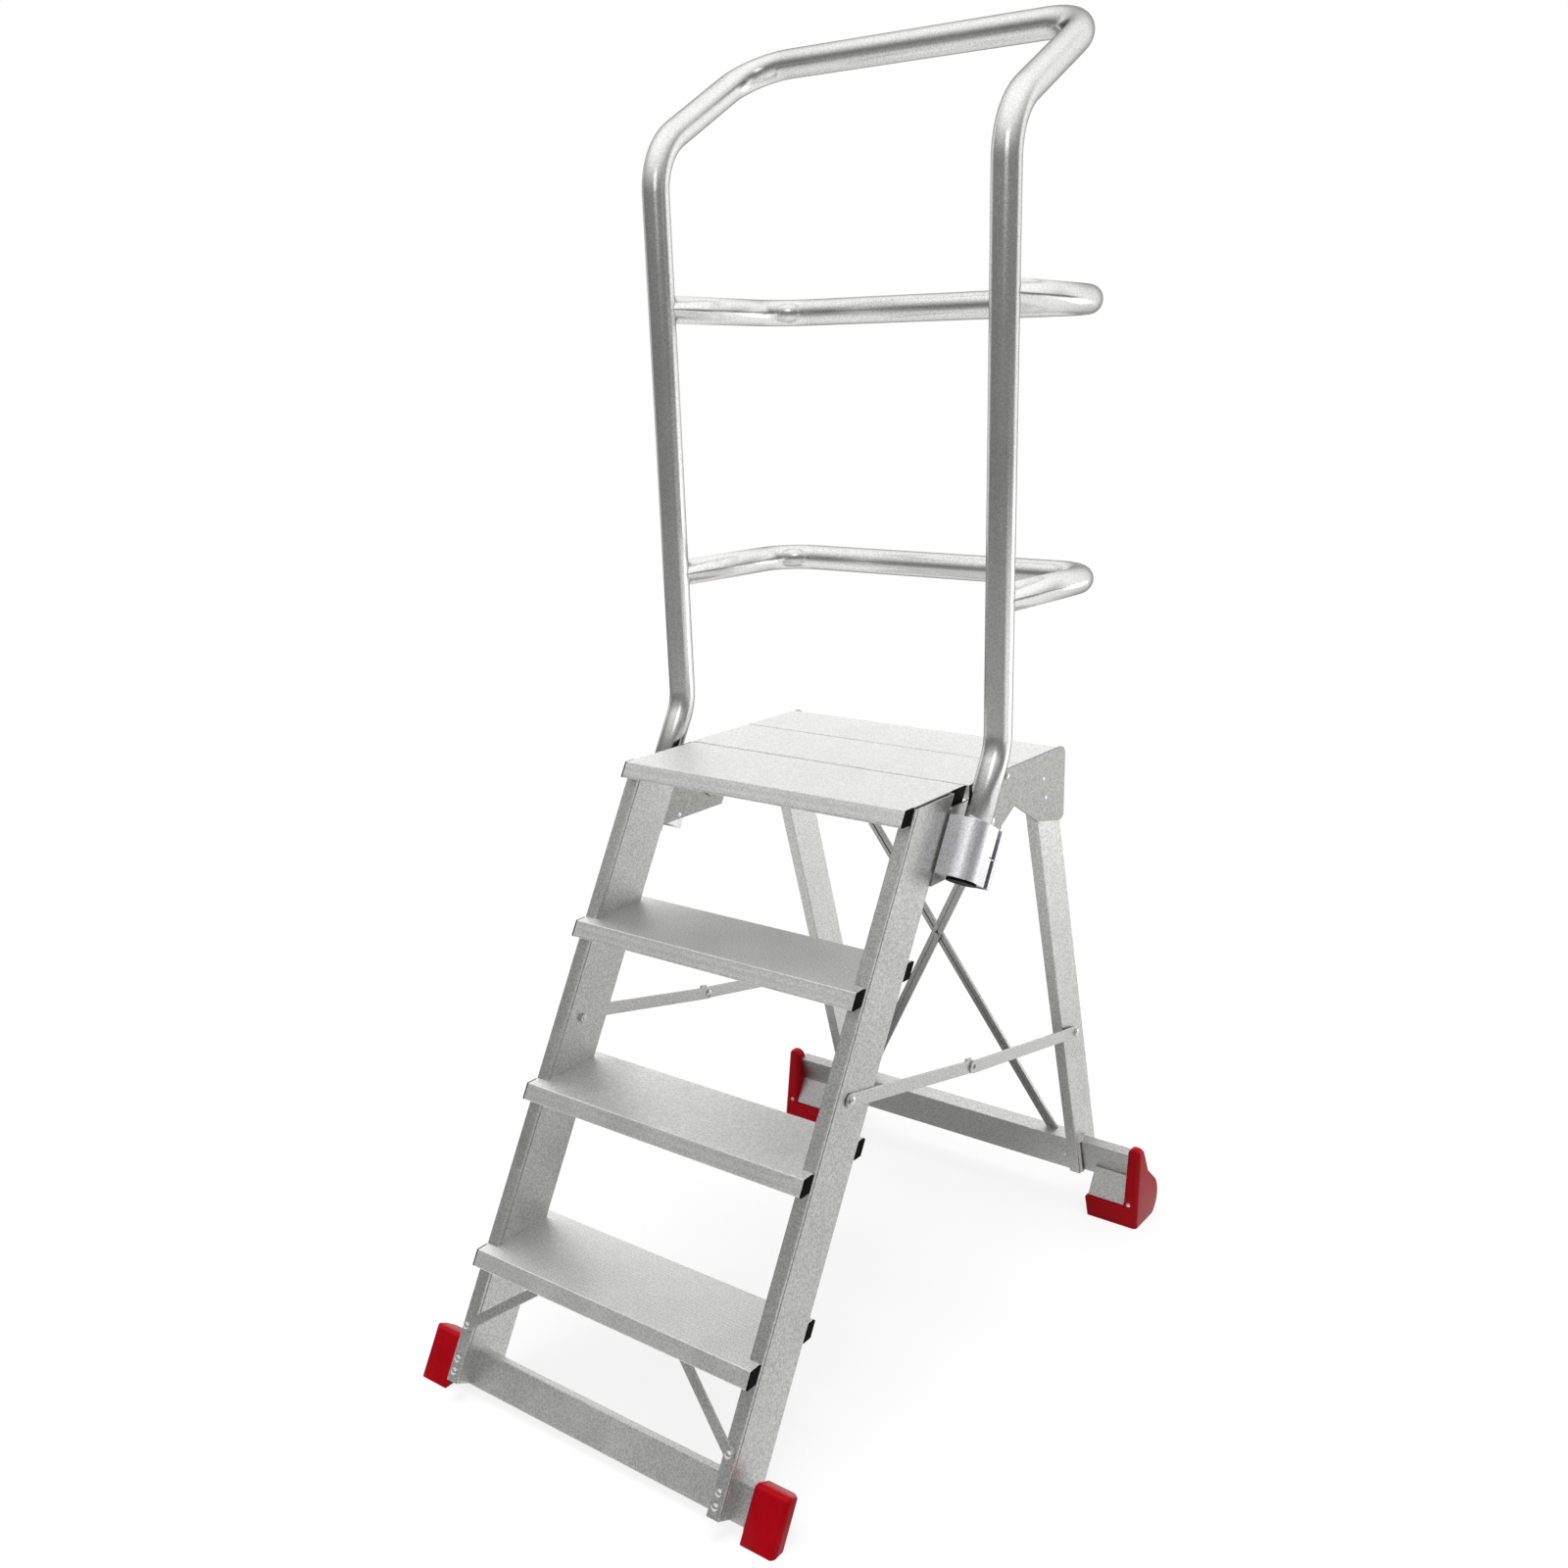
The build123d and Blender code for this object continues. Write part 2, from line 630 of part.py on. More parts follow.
with BuildPart() as pivot_nuts:
    with BuildSketch(Plane.YZ.offset(nut_inner)) as nut_hex:
        with Locations(pivot):
            RegularPolygon(pivot_head_radius, 6)
            Circle(pivot_radius + bolt_gap, mode=Mode.SUBTRACT)
    extrude(nut_hex.sketch, amount=pivot_nut)
write_both(pivot_nuts, "pivot_nuts")

# Rear side plate: its outline rounds the pivot, arches between pivot and leg, and ends behind the platform
plate_front_y = pivot[0] - plate_lobe
arch_tan = math.tan(math.radians(arch_slope))
lobe_drop = plate_lobe / math.cos(math.radians(arch_slope))
arch_peak_y = nose_y + arch_peak_setback
plate_rear_y = nose_y + platform_depth + plate_rear_reach
plate_top_z = platform_height - plate_top_drop
plate_leg_z = platform_height - plate_leg_drop


def arch_z(y):
    """Height of the arch's front slope, which touches the lobe from below."""
    return pivot[1] - lobe_drop + arch_tan * (y - pivot[0])


with BuildSketch(Plane.YZ.offset(plate_inner)) as plate_outline:
    with BuildLine():
        Polyline(
            (plate_front_y, plate_top_z),
            (plate_rear_y, plate_top_z),
            (plate_rear_y, platform_height - plate_rear_drop),
            (plate_rear_y - plate_step, platform_height - plate_heel_drop),
            (leg_y(0, plate_leg_z), plate_leg_z),
            (arch_peak_y, arch_z(arch_peak_y)),
            (plate_front_y, arch_z(plate_front_y)),
            close=True,
        )
    make_face()
    plate_rounds = [
        ((plate_front_y, arch_z(plate_front_y)), plate_lobe),
        ((plate_rear_y, plate_top_z), plate_corner),
        ((arch_peak_y, arch_z(arch_peak_y)), arch_round),
    ]
    for corner, radius in plate_rounds:
        fillet(plate_outline.vertices().sort_by_distance(corner)[0], radius)

# Screws into the middle plank and rivets into the leg
middle_plank_y = nose_y + front_plank_depth + plank_gap
rear_plank_y = middle_plank_y + middle_plank_depth + plank_gap
plank_screw_z = platform_height - plank_screw_drop
plank_screw_places = [
    (middle_plank_y + plank_screw_inset, plank_screw_z),
    (middle_plank_y + middle_plank_depth - plank_screw_inset, plank_screw_z),
]
leg_top_z = platform_height - tread_drop
plate_rivet_places = []
for drop in plate_rivet_drops:
    rivet_z = platform_height - drop
    plate_rivet_places.append((leg_y(leg_depth / 2, rivet_z), rivet_z))

with BuildPart() as side_plate:
    extrude(plate_outline.sketch, amount=plate_thickness)
    rod(pivot, pivot_radius + pivot_fit, plate_inner, plate_outer, mode=Mode.SUBTRACT)
    for place in plank_screw_places + plate_rivet_places:
        rod(place, rivet_radius + bolt_gap, plate_inner, plate_outer, mode=Mode.SUBTRACT)
write_pair(side_plate, "rear_side_plate")

# Rear leg: a box section whose outer wall gives way to the side plate at the top
rear_bar_front = leg_wall
rear_bar_rear = rear_bar_front + rear_bar_thickness
rear_bar_mid = leg_along(rear_bar_front, rear_bar_centre_height)
rear_bar_low = rear_bar_mid - rear_bar_height / 2
rear_bar_top = rear_bar_mid + rear_bar_height / 2
rear_bar_half = plate_outer + rear_bar_overhang
with BuildPart() as leg:
    leg_start = leg_along(0, leg_foot_height) - leg_depth
    with BuildSketch(rear.offset(leg_start)):
        with Locations((leg_inner + leg_width / 2, leg_depth / 2)):
            RectangleRounded(leg_width, leg_depth, edge_round)
            Rectangle(leg_width - 2 * leg_wall, leg_depth - 2 * leg_wall, mode=Mode.SUBTRACT)
    extrude(amount=-leg_start)
    split(bisect_by=Plane.XY.offset(leg_foot_height), keep=Keep.TOP)
    split(bisect_by=Plane.XY.offset(leg_top_z), keep=Keep.BOTTOM)
    extrude(plate_outline.sketch, amount=plate_thickness, mode=Mode.SUBTRACT)
    slot_low = (rear_bar_front, rear_bar_low)
    slot_high = (rear_bar_rear, rear_bar_top)
    block(leg_inner, plate_outer, rear_side, slot_low, slot_high, mode=Mode.SUBTRACT)
    rod(spreader_rear, spreader_bolt_radius + bolt_gap, leg_inner, plate_outer, mode=Mode.SUBTRACT)
    for place in plate_rivet_places:
        rod(place, rivet_radius + bolt_gap, leg_inner, leg_inner + leg_wall, mode=Mode.SUBTRACT)
write_pair(leg, "rear_leg")


def plank(start_y, depth):
    """A platform plank between the side plates: two hollow edge beams and a ribbed plate."""
    plane = Plane((-plate_inner, start_y, platform_height), x_dir=(0, 1, 0), z_dir=(1, 0, 0))
    with BuildPart() as board:
        with BuildSketch(plane) as profile:
            with Locations((depth / 2, -tread_plate / 2)):
                Rectangle(depth, tread_plate)
            with Locations((plank_beam / 2, -tread_drop / 2), (depth - plank_beam / 2, -tread_drop / 2)):
                Rectangle(plank_beam, tread_drop)
            with Locations((plank_beam / 2, -tread_drop / 2), (depth - plank_beam / 2, -tread_drop / 2)):
                Rectangle(plank_beam - 2 * tread_wall, tread_drop - 2 * tread_wall, mode=Mode.SUBTRACT)
            with Locations((depth / 2, -plank_screw_drop)):
                with GridLocations(depth - 2 * plank_screw_inset, 0, 2, 1):
                    Circle(screw_port_radius)
            with Locations((depth / 2, -(tread_plate + tread_rib_height) / 2)):
                with GridLocations(depth - 2 * plank_screw_inset, 0, 2, 1):
                    Rectangle(tread_rib_thickness, tread_plate + tread_rib_height)
            with Locations((depth / 2, -plank_screw_drop)):
                with GridLocations(depth - 2 * plank_screw_inset, 0, 2, 1):
                    Circle(rivet_radius + bolt_gap, mode=Mode.SUBTRACT)
            profile_ends = profile.vertices().group_by(Axis.X)
            fillet(profile_ends[0] + profile_ends[-1], edge_round)
        extrude(amount=2 * plate_inner)
    return board


write_piece(plank(middle_plank_y, middle_plank_depth), "middle_plank")
write_piece(plank(rear_plank_y, rear_plank_depth), "rear_plank")

# Screws and rivets of the side plates
with BuildPart() as plank_screws:
    for place in plank_screw_places:
        rod(place, rivet_radius, plate_outer - screw_length, plate_outer)
        rod(place, rivet_head_radius, plate_outer, plate_outer + rivet_head)
write_both(plank_screws, "plank_screws")

with BuildPart() as plate_rivets:
    for place in plate_rivet_places:
        rod(place, rivet_radius, leg_inner, plate_outer)
        rod(place, rivet_head_radius, leg_inner - rivet_head, leg_inner)
write_both(plate_rivets, "plate_rivets")

# Rear crossbar through the legs, with a slimmer stub tube in each end for the feet
stub_low = (rear_bar_front + rear_bar_wall + stub_depth_clearance, rear_bar_low + rear_bar_wall)
stub_high = (rear_bar_rear - rear_bar_wall, rear_bar_top - rear_bar_wall)
stub_inside = leg_inner - stub_insert
stub_bolt_x = leg_inner - stub_bolt_inset
stub_bolt_place = (stub_bolt_x, rear_bar_mid)
with BuildPart() as rear_crossbar:
    bar_corners = (rear_bar_front, rear_bar_low), (rear_bar_rear, rear_bar_top)
    box_bar(-rear_bar_half, rear_bar_half, rear_side, *bar_corners, rear_bar_wall)
    with BuildSketch(rear_face.offset(-rear_bar_front)) as bar_holes:
        with Locations(stub_bolt_place, (-stub_bolt_x, rear_bar_mid)):
            Circle(rivet_radius + bolt_gap)
    extrude(bar_holes.sketch, amount=-rear_bar_wall, mode=Mode.SUBTRACT)
write_piece(rear_crossbar, "rear_crossbar")

with BuildPart() as stub:
    box_bar(stub_inside, stub_outside, rear_side, stub_low, stub_high, stub_wall)
    with BuildSketch(rear_face.offset(-stub_low[0])) as stub_hole:
        with Locations(stub_bolt_place):
            Circle(rivet_radius + bolt_gap)
    extrude(stub_hole.sketch, amount=-stub_wall, mode=Mode.SUBTRACT)
write_pair(stub, "rear_stub")

with BuildPart() as stub_bolts:
    with BuildSketch(rear_face.offset(-rear_bar_front)) as stub_bolt_head:
        with Locations(stub_bolt_place):
            Circle(rivet_head_radius)
    extrude(stub_bolt_head.sketch, amount=rivet_head)
    with BuildSketch(rear_face.offset(-rear_bar_front)) as stub_bolt_shank:
        with Locations(stub_bolt_place):
            Circle(rivet_radius)
    extrude(stub_bolt_shank.sketch, amount=rear_bar_front - stub_low[0] - stub_wall)
write_both(stub_bolts, "stub_bolts")

# Rear foot: a sole under the stub, an upright with a domed top at its end, and a round heel
foot_line_y = leg_y(0, 0)
foot_front_y = foot_line_y - rear_foot_front
foot_top_front_y = foot_front_y + rear_foot_front_lean
foot_top_rear_y = foot_top_front_y + rear_foot_top_depth
shoulder_y = foot_line_y + rear_foot_shoulder_setback
foot_outside = stub_outside + rear_foot_wall + rear_foot_side_slant
heel_turn = math.radians(rear_foot_heel_turn)
heel_start_y = foot_line_y + rear_foot_heel_radius * math.cos(heel_turn)
heel_start_z = rear_foot_heel_height + rear_foot_heel_radius * math.sin(heel_turn)
heel_floor_y = foot_line_y + math.sqrt(rear_foot_heel_radius**2 - rear_foot_heel_height**2)
heel_back_y = foot_line_y + rear_foot_heel_radius
with BuildPart() as rear_foot:
    with BuildSketch(Plane.YZ.offset(rear_foot_inside)):
        with BuildLine():
            Polyline(
                (heel_floor_y, 0),
                (foot_front_y, 0),
                (foot_top_front_y, rear_foot_height),
                (foot_top_rear_y, rear_foot_height),
                (shoulder_y, rear_foot_shoulder_height),
                (heel_start_y, heel_start_z),
            )
            ThreePointArc(
                (heel_start_y, heel_start_z), (heel_back_y, rear_foot_heel_height), (heel_floor_y, 0)
            )
        make_face()
    extrude(amount=foot_outside - rear_foot_inside)
    side_slope = (rear_foot_height, 0, rear_foot_side_slant)
    split(bisect_by=Plane((foot_outside, 0, 0), z_dir=side_slope), keep=Keep.BOTTOM)
    with BuildSketch(Plane.XZ.offset(-heel_back_y)) as foot_room:
        with Locations(((rear_foot_inside + stub_outside) / 2, (rear_foot_sole + rear_foot_height) / 2)):
            Rectangle(stub_outside - rear_foot_inside, rear_foot_height - rear_foot_sole)
    extrude(foot_room.sketch, amount=heel_back_y - foot_front_y, mode=Mode.SUBTRACT)
    end_slope = (-rear_foot_sole, 0, -rear_foot_end_slant)
    split(bisect_by=Plane((rear_foot_inside, 0, rear_foot_sole), z_dir=end_slope), keep=Keep.BOTTOM)
    top_face = rear_foot.faces().sort_by(Axis.Z)[-1]
    fillet(top_face.edges().filter_by(Axis.Y), rear_foot_dome)
    outer_face = rear_foot.faces().sort_by(Axis.X)[-1]
    fillet(outer_face.edges().sort_by(Axis.Y)[0], rear_foot_edge)
write_pair(rear_foot, "rear_foot")

# Folded bracket between stub and sole
with BuildPart() as foot_bracket:
    with BuildSketch(Plane.YZ.offset(bracket_inside)) as bracket_outline:
        lean_share = rear_foot_front_lean / rear_foot_height
        low_front = (foot_front_y + lean_share * rear_foot_sole + bracket_setback, rear_foot_sole)
        stub_front_top = (leg_y(stub_low[0], bracket_top_height), bracket_top_height)
        top_front = (stub_front_top[0] - bracket_top_standoff, bracket_top_height)
        stub_front_low = leg_place(*stub_low)
        stub_rear_low = leg_place(stub_high[0], stub_low[1])
        with BuildLine():
            Polyline(
                low_front,
                top_front,
                stub_front_top,
                stub_front_low,
                stub_rear_low,
                (stub_rear_low[0], rear_foot_sole),
                close=True,
            )
        make_face()
        fillet(bracket_outline.vertices().sort_by_distance(low_front)[0], bracket_bend)
        offset(amount=-bracket_wall, kind=Kind.INTERSECTION, mode=Mode.SUBTRACT)
    extrude(amount=bracket_width)
write_pair(foot_bracket, "rear_foot_bracket")

# X-brace: two grooved bars from the rear crossbar's top to the rear plank's rear beam
brace_seat = leg_place(rear_bar_front + brace_bar_seat, rear_bar_top)
brace_head_y = nose_y + platform_depth - plank_beam / 2
brace_head = (brace_head_y, leg_top_z)
brace_slant = math.atan2(brace_seat[0] - brace_head[0], brace_head[1] - brace_seat[1])
brace_rise = math.hypot(brace_head[0] - brace_seat[0], brace_head[1] - brace_seat[1])
brace_bar_low_x = leg_inner - brace_bar_low_inset
brace_bar_high_x = leg_inner - brace_bar_high_inset
brace_span = brace_bar_low_x + brace_bar_high_x
brace_tilt = math.degrees(math.atan2(brace_rise, -brace_span))
brace_plane = Plane(
    (0, *brace_seat), x_dir=(1, 0, 0), z_dir=(0, -math.cos(brace_slant), -math.sin(brace_slant))
)
brace_middle = ((brace_bar_low_x - brace_bar_high_x) / 2, brace_rise / 2)
brace_bar_length = math.hypot(brace_rise, brace_span) + brace_bar_trim
crossing = (0, brace_rise * brace_bar_low_x / brace_span)
for name, side, face in (("x_brace_front", -1, brace_bar_thickness), ("x_brace_rear", 1, 0.0)):
    bar_plane = brace_plane.offset(face)
    with BuildPart() as bar:
        with BuildSketch(bar_plane) as bar_outline:
            with Locations((side * brace_middle[0], brace_middle[1])):
                Rectangle(brace_bar_length, brace_bar_width, rotation=side * brace_tilt)
            with Locations(crossing):
                Circle(rivet_radius + bolt_gap, mode=Mode.SUBTRACT)
        extrude(bar_outline.sketch, amount=-brace_bar_thickness)
        with BuildSketch(bar_plane) as groove_outline:
            with Locations((side * brace_middle[0], brace_middle[1])):
                Rectangle(brace_bar_length, brace_groove_width, rotation=side * brace_tilt)
        extrude(groove_outline.sketch, amount=-brace_groove_depth, mode=Mode.SUBTRACT)
        split(bisect_by=Plane.XY.offset(leg_top_z), keep=Keep.BOTTOM)
        split(bisect_by=rear.offset(rear_bar_top), keep=Keep.TOP)
    write_piece(bar, name)

with BuildPart() as x_brace_rivet:
    with BuildSketch(brace_plane.offset(brace_bar_thickness)) as rivet_front:
        with Locations(crossing):
            Circle(rivet_head_radius)
    extrude(rivet_front.sketch, amount=rivet_head)
    with BuildSketch(brace_plane.offset(-brace_bar_thickness)) as rivet_rear:
        with Locations(crossing):
            Circle(rivet_head_radius)
    extrude(rivet_rear.sketch, amount=-rivet_head)
    with BuildSketch(brace_plane.offset(brace_bar_thickness)) as rivet_core:
        with Locations(crossing):
            Circle(rivet_radius)
    extrude(rivet_core.sketch, amount=-2 * brace_bar_thickness)
write_piece(x_brace_rivet, "x_brace_rivet")


# Spreaders: the front link turns on the stile, the rear link on the leg, and they meet at the middle
def link(start, end, inner_x, lug_length):
    """A flat bar with round, bored ends, and a lug on the upper edge beside its far end."""
    run = (end[0] - start[0], end[1] - start[1])
    length = math.hypot(*run)
    angle = math.degrees(math.atan2(run[1], run[0]))
    with BuildPart() as bar:
        with BuildSketch(Plane.YZ.offset(inner_x)):
            with Locations(((start[0] + end[0]) / 2, (start[1] + end[1]) / 2)):
                SlotCenterToCenter(length, spreader_width, rotation=angle)
            if lug_length:
                with Locations(Location((*end, 0), (0, 0, angle))):
                    with Locations((-lug_length, spreader_width / 2)):
                        Rectangle(lug_length, 2 * spreader_lug_height)
            with Locations(start, end):
                Circle(spreader_bolt_radius + spreader_fit, mode=Mode.SUBTRACT)
        extrude(amount=spreader_thickness)
    return bar


front_link = link(spreader_front, spreader_middle, front_link_inner, spreader_lug_length)
rear_link = link(spreader_rear, spreader_middle, rear_link_inner, 0)
write_pair(front_link, "spreader_front_link")
write_pair(rear_link, "spreader_rear_link")

with BuildPart() as middle_rivet:
    rod(spreader_middle, spreader_bolt_radius, front_link_inner, front_link_outer)
    rod(spreader_middle, spreader_head_radius, front_link_inner - rivet_head, front_link_inner)
write_pair(middle_rivet, "spreader_middle_rivet")

with BuildPart() as spreader_front_bolts:
    rod(spreader_front, spreader_bolt_radius, stile_inner - spreader_nut, front_link_outer + bolt_gap)
    bolt_head_outer = front_link_outer + bolt_gap
    rod(spreader_front, spreader_head_radius, bolt_head_outer, bolt_head_outer + spreader_head)
write_both(spreader_front_bolts, "spreader_front_bolts")

with BuildPart() as spreader_rear_bolts:
    rod(spreader_rear, spreader_bolt_radius, leg_inner - spreader_nut, rear_link_outer + bolt_gap)
    bolt_head_outer = rear_link_outer + bolt_gap
    rod(spreader_rear, spreader_head_radius, bolt_head_outer, bolt_head_outer + spreader_head)
write_both(spreader_rear_bolts, "spreader_rear_bolts")


def spreader_ring(place, start, end, hexagon):
    """A washer, spacer or nut round a spreader bolt."""
    with BuildPart() as ring:
        with BuildSketch(Plane.YZ.offset(start)):
            with Locations(place):
                if hexagon:
                    RegularPolygon(spreader_head_radius, 6)
                else:
                    Circle(spreader_head_radius)
                Circle(spreader_bolt_radius + bolt_gap, mode=Mode.SUBTRACT)
        extrude(amount=end - start)
    return ring


front_washer = spreader_ring(spreader_front, stile_outer, stile_outer + spreader_washer, False)
rear_spacer = spreader_ring(spreader_rear, plate_outer, rear_link_inner - bolt_gap, False)
front_nut = spreader_ring(spreader_front, stile_inner - spreader_nut, stile_inner, True)
rear_nut = spreader_ring(spreader_rear, leg_inner - spreader_nut, leg_inner, True)
write_both(front_washer, "spreader_front_washers")
write_both(rear_spacer, "spreader_rear_spacers")
write_both(front_nut, "spreader_front_nuts")
write_both(rear_nut, "spreader_rear_nuts")

# Guardrail hoop: one bent tube from sleeve to sleeve over the platform
upright_y = nose_y + upright_setback
tube_low = stile_place(tube_setback, sleeve_low + stop_insert + running_gap)
low_bend_z = platform_height + (cos_f * upright_setback - tube_setback) / sin_f
guard_top_y = nose_y + guard_top_setback
hoop_half = [
    (tube_x, *tube_low),
    (tube_x, upright_y, low_bend_z),
    (tube_x, upright_y, platform_height + guard_shoulder),
    (tube_x, guard_top_y, platform_height + guard_top),
]
hoop_points = hoop_half + [(-x, y, z) for x, y, z in reversed(hoop_half)]
half_bends = [guard_low_bend, guard_high_bend, guard_corner_bend]
with BuildPart() as hoop:
    with BuildLine() as hoop_path:
        FilletPolyline(*hoop_points, radius=half_bends + half_bends[::-1])
    with BuildSketch(Plane(hoop_path.line @ 0, z_dir=hoop_path.line % 0)):
        Circle(tube_radius)
        Circle(tube_radius - tube_wall, mode=Mode.SUBTRACT)
    sweep(path=hoop_path.line)
write_piece(hoop, "guardrail_hoop")

# Mid rails: bent tubes welded between the uprights behind the platform
rail_y = nose_y + rail_setback
for name, height in rail_heights.items():
    rail_z = platform_height + height
    with BuildPart() as rail:
        with BuildLine() as rail_path:
            FilletPolyline(
                (tube_x, upright_y, rail_z),
                (tube_x, rail_y, rail_z),
                (-tube_x, rail_y, rail_z),
                (-tube_x, upright_y, rail_z),
                radius=rail_bend,
            )
        with BuildSketch(Plane(rail_path.line @ 0, z_dir=rail_path.line % 0)):
            Circle(tube_radius)
            Circle(tube_radius - tube_wall, mode=Mode.SUBTRACT)
        sweep(path=rail_path.line)
        with Locations((tube_x, upright_y, rail_z), (-tube_x, upright_y, rail_z)):
            Cylinder(tube_radius + weld_gap, 2 * (tube_radius + tube_wall), mode=Mode.SUBTRACT)
    write_piece(rail, name)
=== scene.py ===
"""Looks of a folding warehouse ladder: finishes, bent tubes, welds, fastener crowns, light and camera."""

import logging
import math
from dataclasses import dataclass
from enum import Enum

import bmesh
import bpy
import numpy as np
from mathutils import Matrix, Vector

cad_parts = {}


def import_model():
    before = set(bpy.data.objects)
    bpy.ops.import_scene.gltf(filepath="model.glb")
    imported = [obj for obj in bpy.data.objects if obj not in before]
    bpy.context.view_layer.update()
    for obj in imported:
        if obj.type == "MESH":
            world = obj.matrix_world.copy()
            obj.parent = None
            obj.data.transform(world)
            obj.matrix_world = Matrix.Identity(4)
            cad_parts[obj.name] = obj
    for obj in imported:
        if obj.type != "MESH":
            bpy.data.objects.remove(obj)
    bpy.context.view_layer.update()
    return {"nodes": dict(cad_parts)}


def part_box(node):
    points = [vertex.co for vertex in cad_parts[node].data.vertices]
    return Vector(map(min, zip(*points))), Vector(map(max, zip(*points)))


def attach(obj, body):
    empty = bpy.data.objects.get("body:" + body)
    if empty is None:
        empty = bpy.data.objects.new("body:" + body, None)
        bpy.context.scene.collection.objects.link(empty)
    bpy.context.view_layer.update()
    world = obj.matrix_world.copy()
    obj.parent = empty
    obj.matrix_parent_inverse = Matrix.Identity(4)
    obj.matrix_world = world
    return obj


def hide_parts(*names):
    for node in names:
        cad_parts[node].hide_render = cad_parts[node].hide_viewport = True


LOG = logging.getLogger("ladder")

# Short names for the types that many functions take
Tree = bpy.types.NodeTree
Node = bpy.types.Node
Socket = bpy.types.NodeSocket
Material = bpy.types.Material
Piece = bpy.types.Object
Array = np.ndarray
Span = tuple[float, float]
Triple = tuple[float, float, float]

# Signs that carry a point to the ladder's other side
MIRROR = (-1, 1, 1)

# Share of an axis along X from which another helper direction is taken
NEARLY_X = 0.9


class Grain(Enum):
    """Way along which a profile was drawn."""

    ACROSS = "across"
    STILE = "stile"
    LEG = "leg"
    UPRIGHT = "upright"
    LENGTHWISE = "lengthwise"


@dataclass(frozen=True)
class LadderSizes:
    """Sizes that the added pieces share with the solids, in metres and radians."""

    tread_rise: float = 0.240
    tread_run: float = 0.136
    platform_height: float = 0.952
    rear_lean: float = math.radians(15.2)
    tube_radius: float = 0.020
    tube_wall: float = 0.002
    tube_x: float = 0.3203
    tube_setback: float = 0.140
    tube_end_along: float = -0.0597
    upright_setback: float = 0.195
    shoulder_rise: float = 0.944
    top_rise: float = 1.094
    top_setback: float = 0.453
    rail_setback: float = 0.508
    lower_rail_rise: float = 0.285
    upper_rail_rise: float = 0.711

    @property
    def front_lean(self) -> float:
        """Angle of the stiles from upright."""
        return math.atan2(self.tread_run, self.tread_rise)

    @property
    def nose_y(self) -> float:
        """Y of the platform's front edge, read from the guardrail's place."""
        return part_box("guardrail_hoop")[1].y - self.tube_radius - self.top_setback

    @property
    def upright_y(self) -> float:
        """Y of the guardrail's uprights."""
        return self.nose_y + self.upright_setback

    def on_stile(self, x: float, across: float, along: float) -> Triple:
        """Place given across and along the stiles from the platform's front edge.

        Args:
            x: Place across the ladder.
            across: Distance square to the stiles' front face, rearwards.
            along: Distance along the stiles, upwards.

        Returns:
            The point in the ladder's frame.
        """
        lean = self.front_lean
        y = self.nose_y + math.cos(lean) * across + math.sin(lean) * along
        z = self.platform_height - math.sin(lean) * across + math.cos(lean) * along
        return (x, y, z)

    def grain_turn(self, grain: Grain) -> Triple:
        """Euler turn that carries a pattern's first axis onto a drawing direction.

        Args:
            grain: The drawing direction.

        Returns:
            The turn about X, Y and Z.
        """
        tilts = {
            Grain.STILE: math.pi / 2 - self.front_lean,
            Grain.LEG: math.pi / 2 + self.rear_lean,
            Grain.UPRIGHT: math.pi / 2,
            Grain.LENGTHWISE: 0.0,
        }
        if grain is Grain.ACROSS:
            return (0.0, 0.0, 0.0)
        return (0.0, -tilts[grain], math.pi / 2)


SIZES = LadderSizes()


def step_node(tree: Tree, kind: str, operation: str, *terms: Socket | float | Triple) -> Node:
    """Add a node for one step on values or vectors.

    Args:
        tree: The node tree.
        kind: Blender's name of the node.
        operation: Blender's name of the step.
        terms: The sockets, numbers or vectors that it takes, in order.

    Returns:
        The node.
    """
    node = tree.nodes.new(kind)
    node.operation = operation
    for socket, term in zip(node.inputs, terms):
        if isinstance(term, Socket):
            tree.links.new(term, socket)
        else:
            socket.default_value = term
    return node


def math_node(tree: Tree, operation: str, *terms: Socket | float) -> Socket:
    """Add one step on values, and give its result."""
    return step_node(tree, "ShaderNodeMath", operation, *terms).outputs[0]


def dot_node(tree: Tree, vector: Socket, direction: Triple) -> Socket:
    """Measure a vector along a direction, as the sum of their products by axis."""
    return step_node(tree, "ShaderNodeVectorMath", "DOT_PRODUCT", vector, direction).outputs["Value"]


def weighted_sum(tree: Tree, *parts: tuple[Socket, float]) -> Socket:
    """Add up values, each times its weight.

    Args:
        tree: The node tree.
        parts: The values with their weights.

    Returns:
        The sum.
    """
    total: Socket | float = 0.0
    for value, weight in parts:
        total = math_node(tree, "MULTIPLY_ADD", value, weight, total)
    return total


def ramp_node(tree: Tree, value: Socket, span: Span, ends: Span, smooth: bool = False) -> Socket:
    """Map a span of a value onto another span.

    Args:
        tree: The node tree.
        value: What is mapped.
        span: Its span.
        ends: The span that it is mapped onto.
        smooth: Whether the ends are eased.

    Returns:
        The mapped value.
    """
    node = tree.nodes.new("ShaderNodeMapRange")
    node.interpolation_type = "SMOOTHSTEP" if smooth else "LINEAR"
    for socket, number in zip(node.inputs[1:5], (*span, *ends)):
        socket.default_value = number
    tree.links.new(value, node.inputs[0])
    return node.outputs[0]


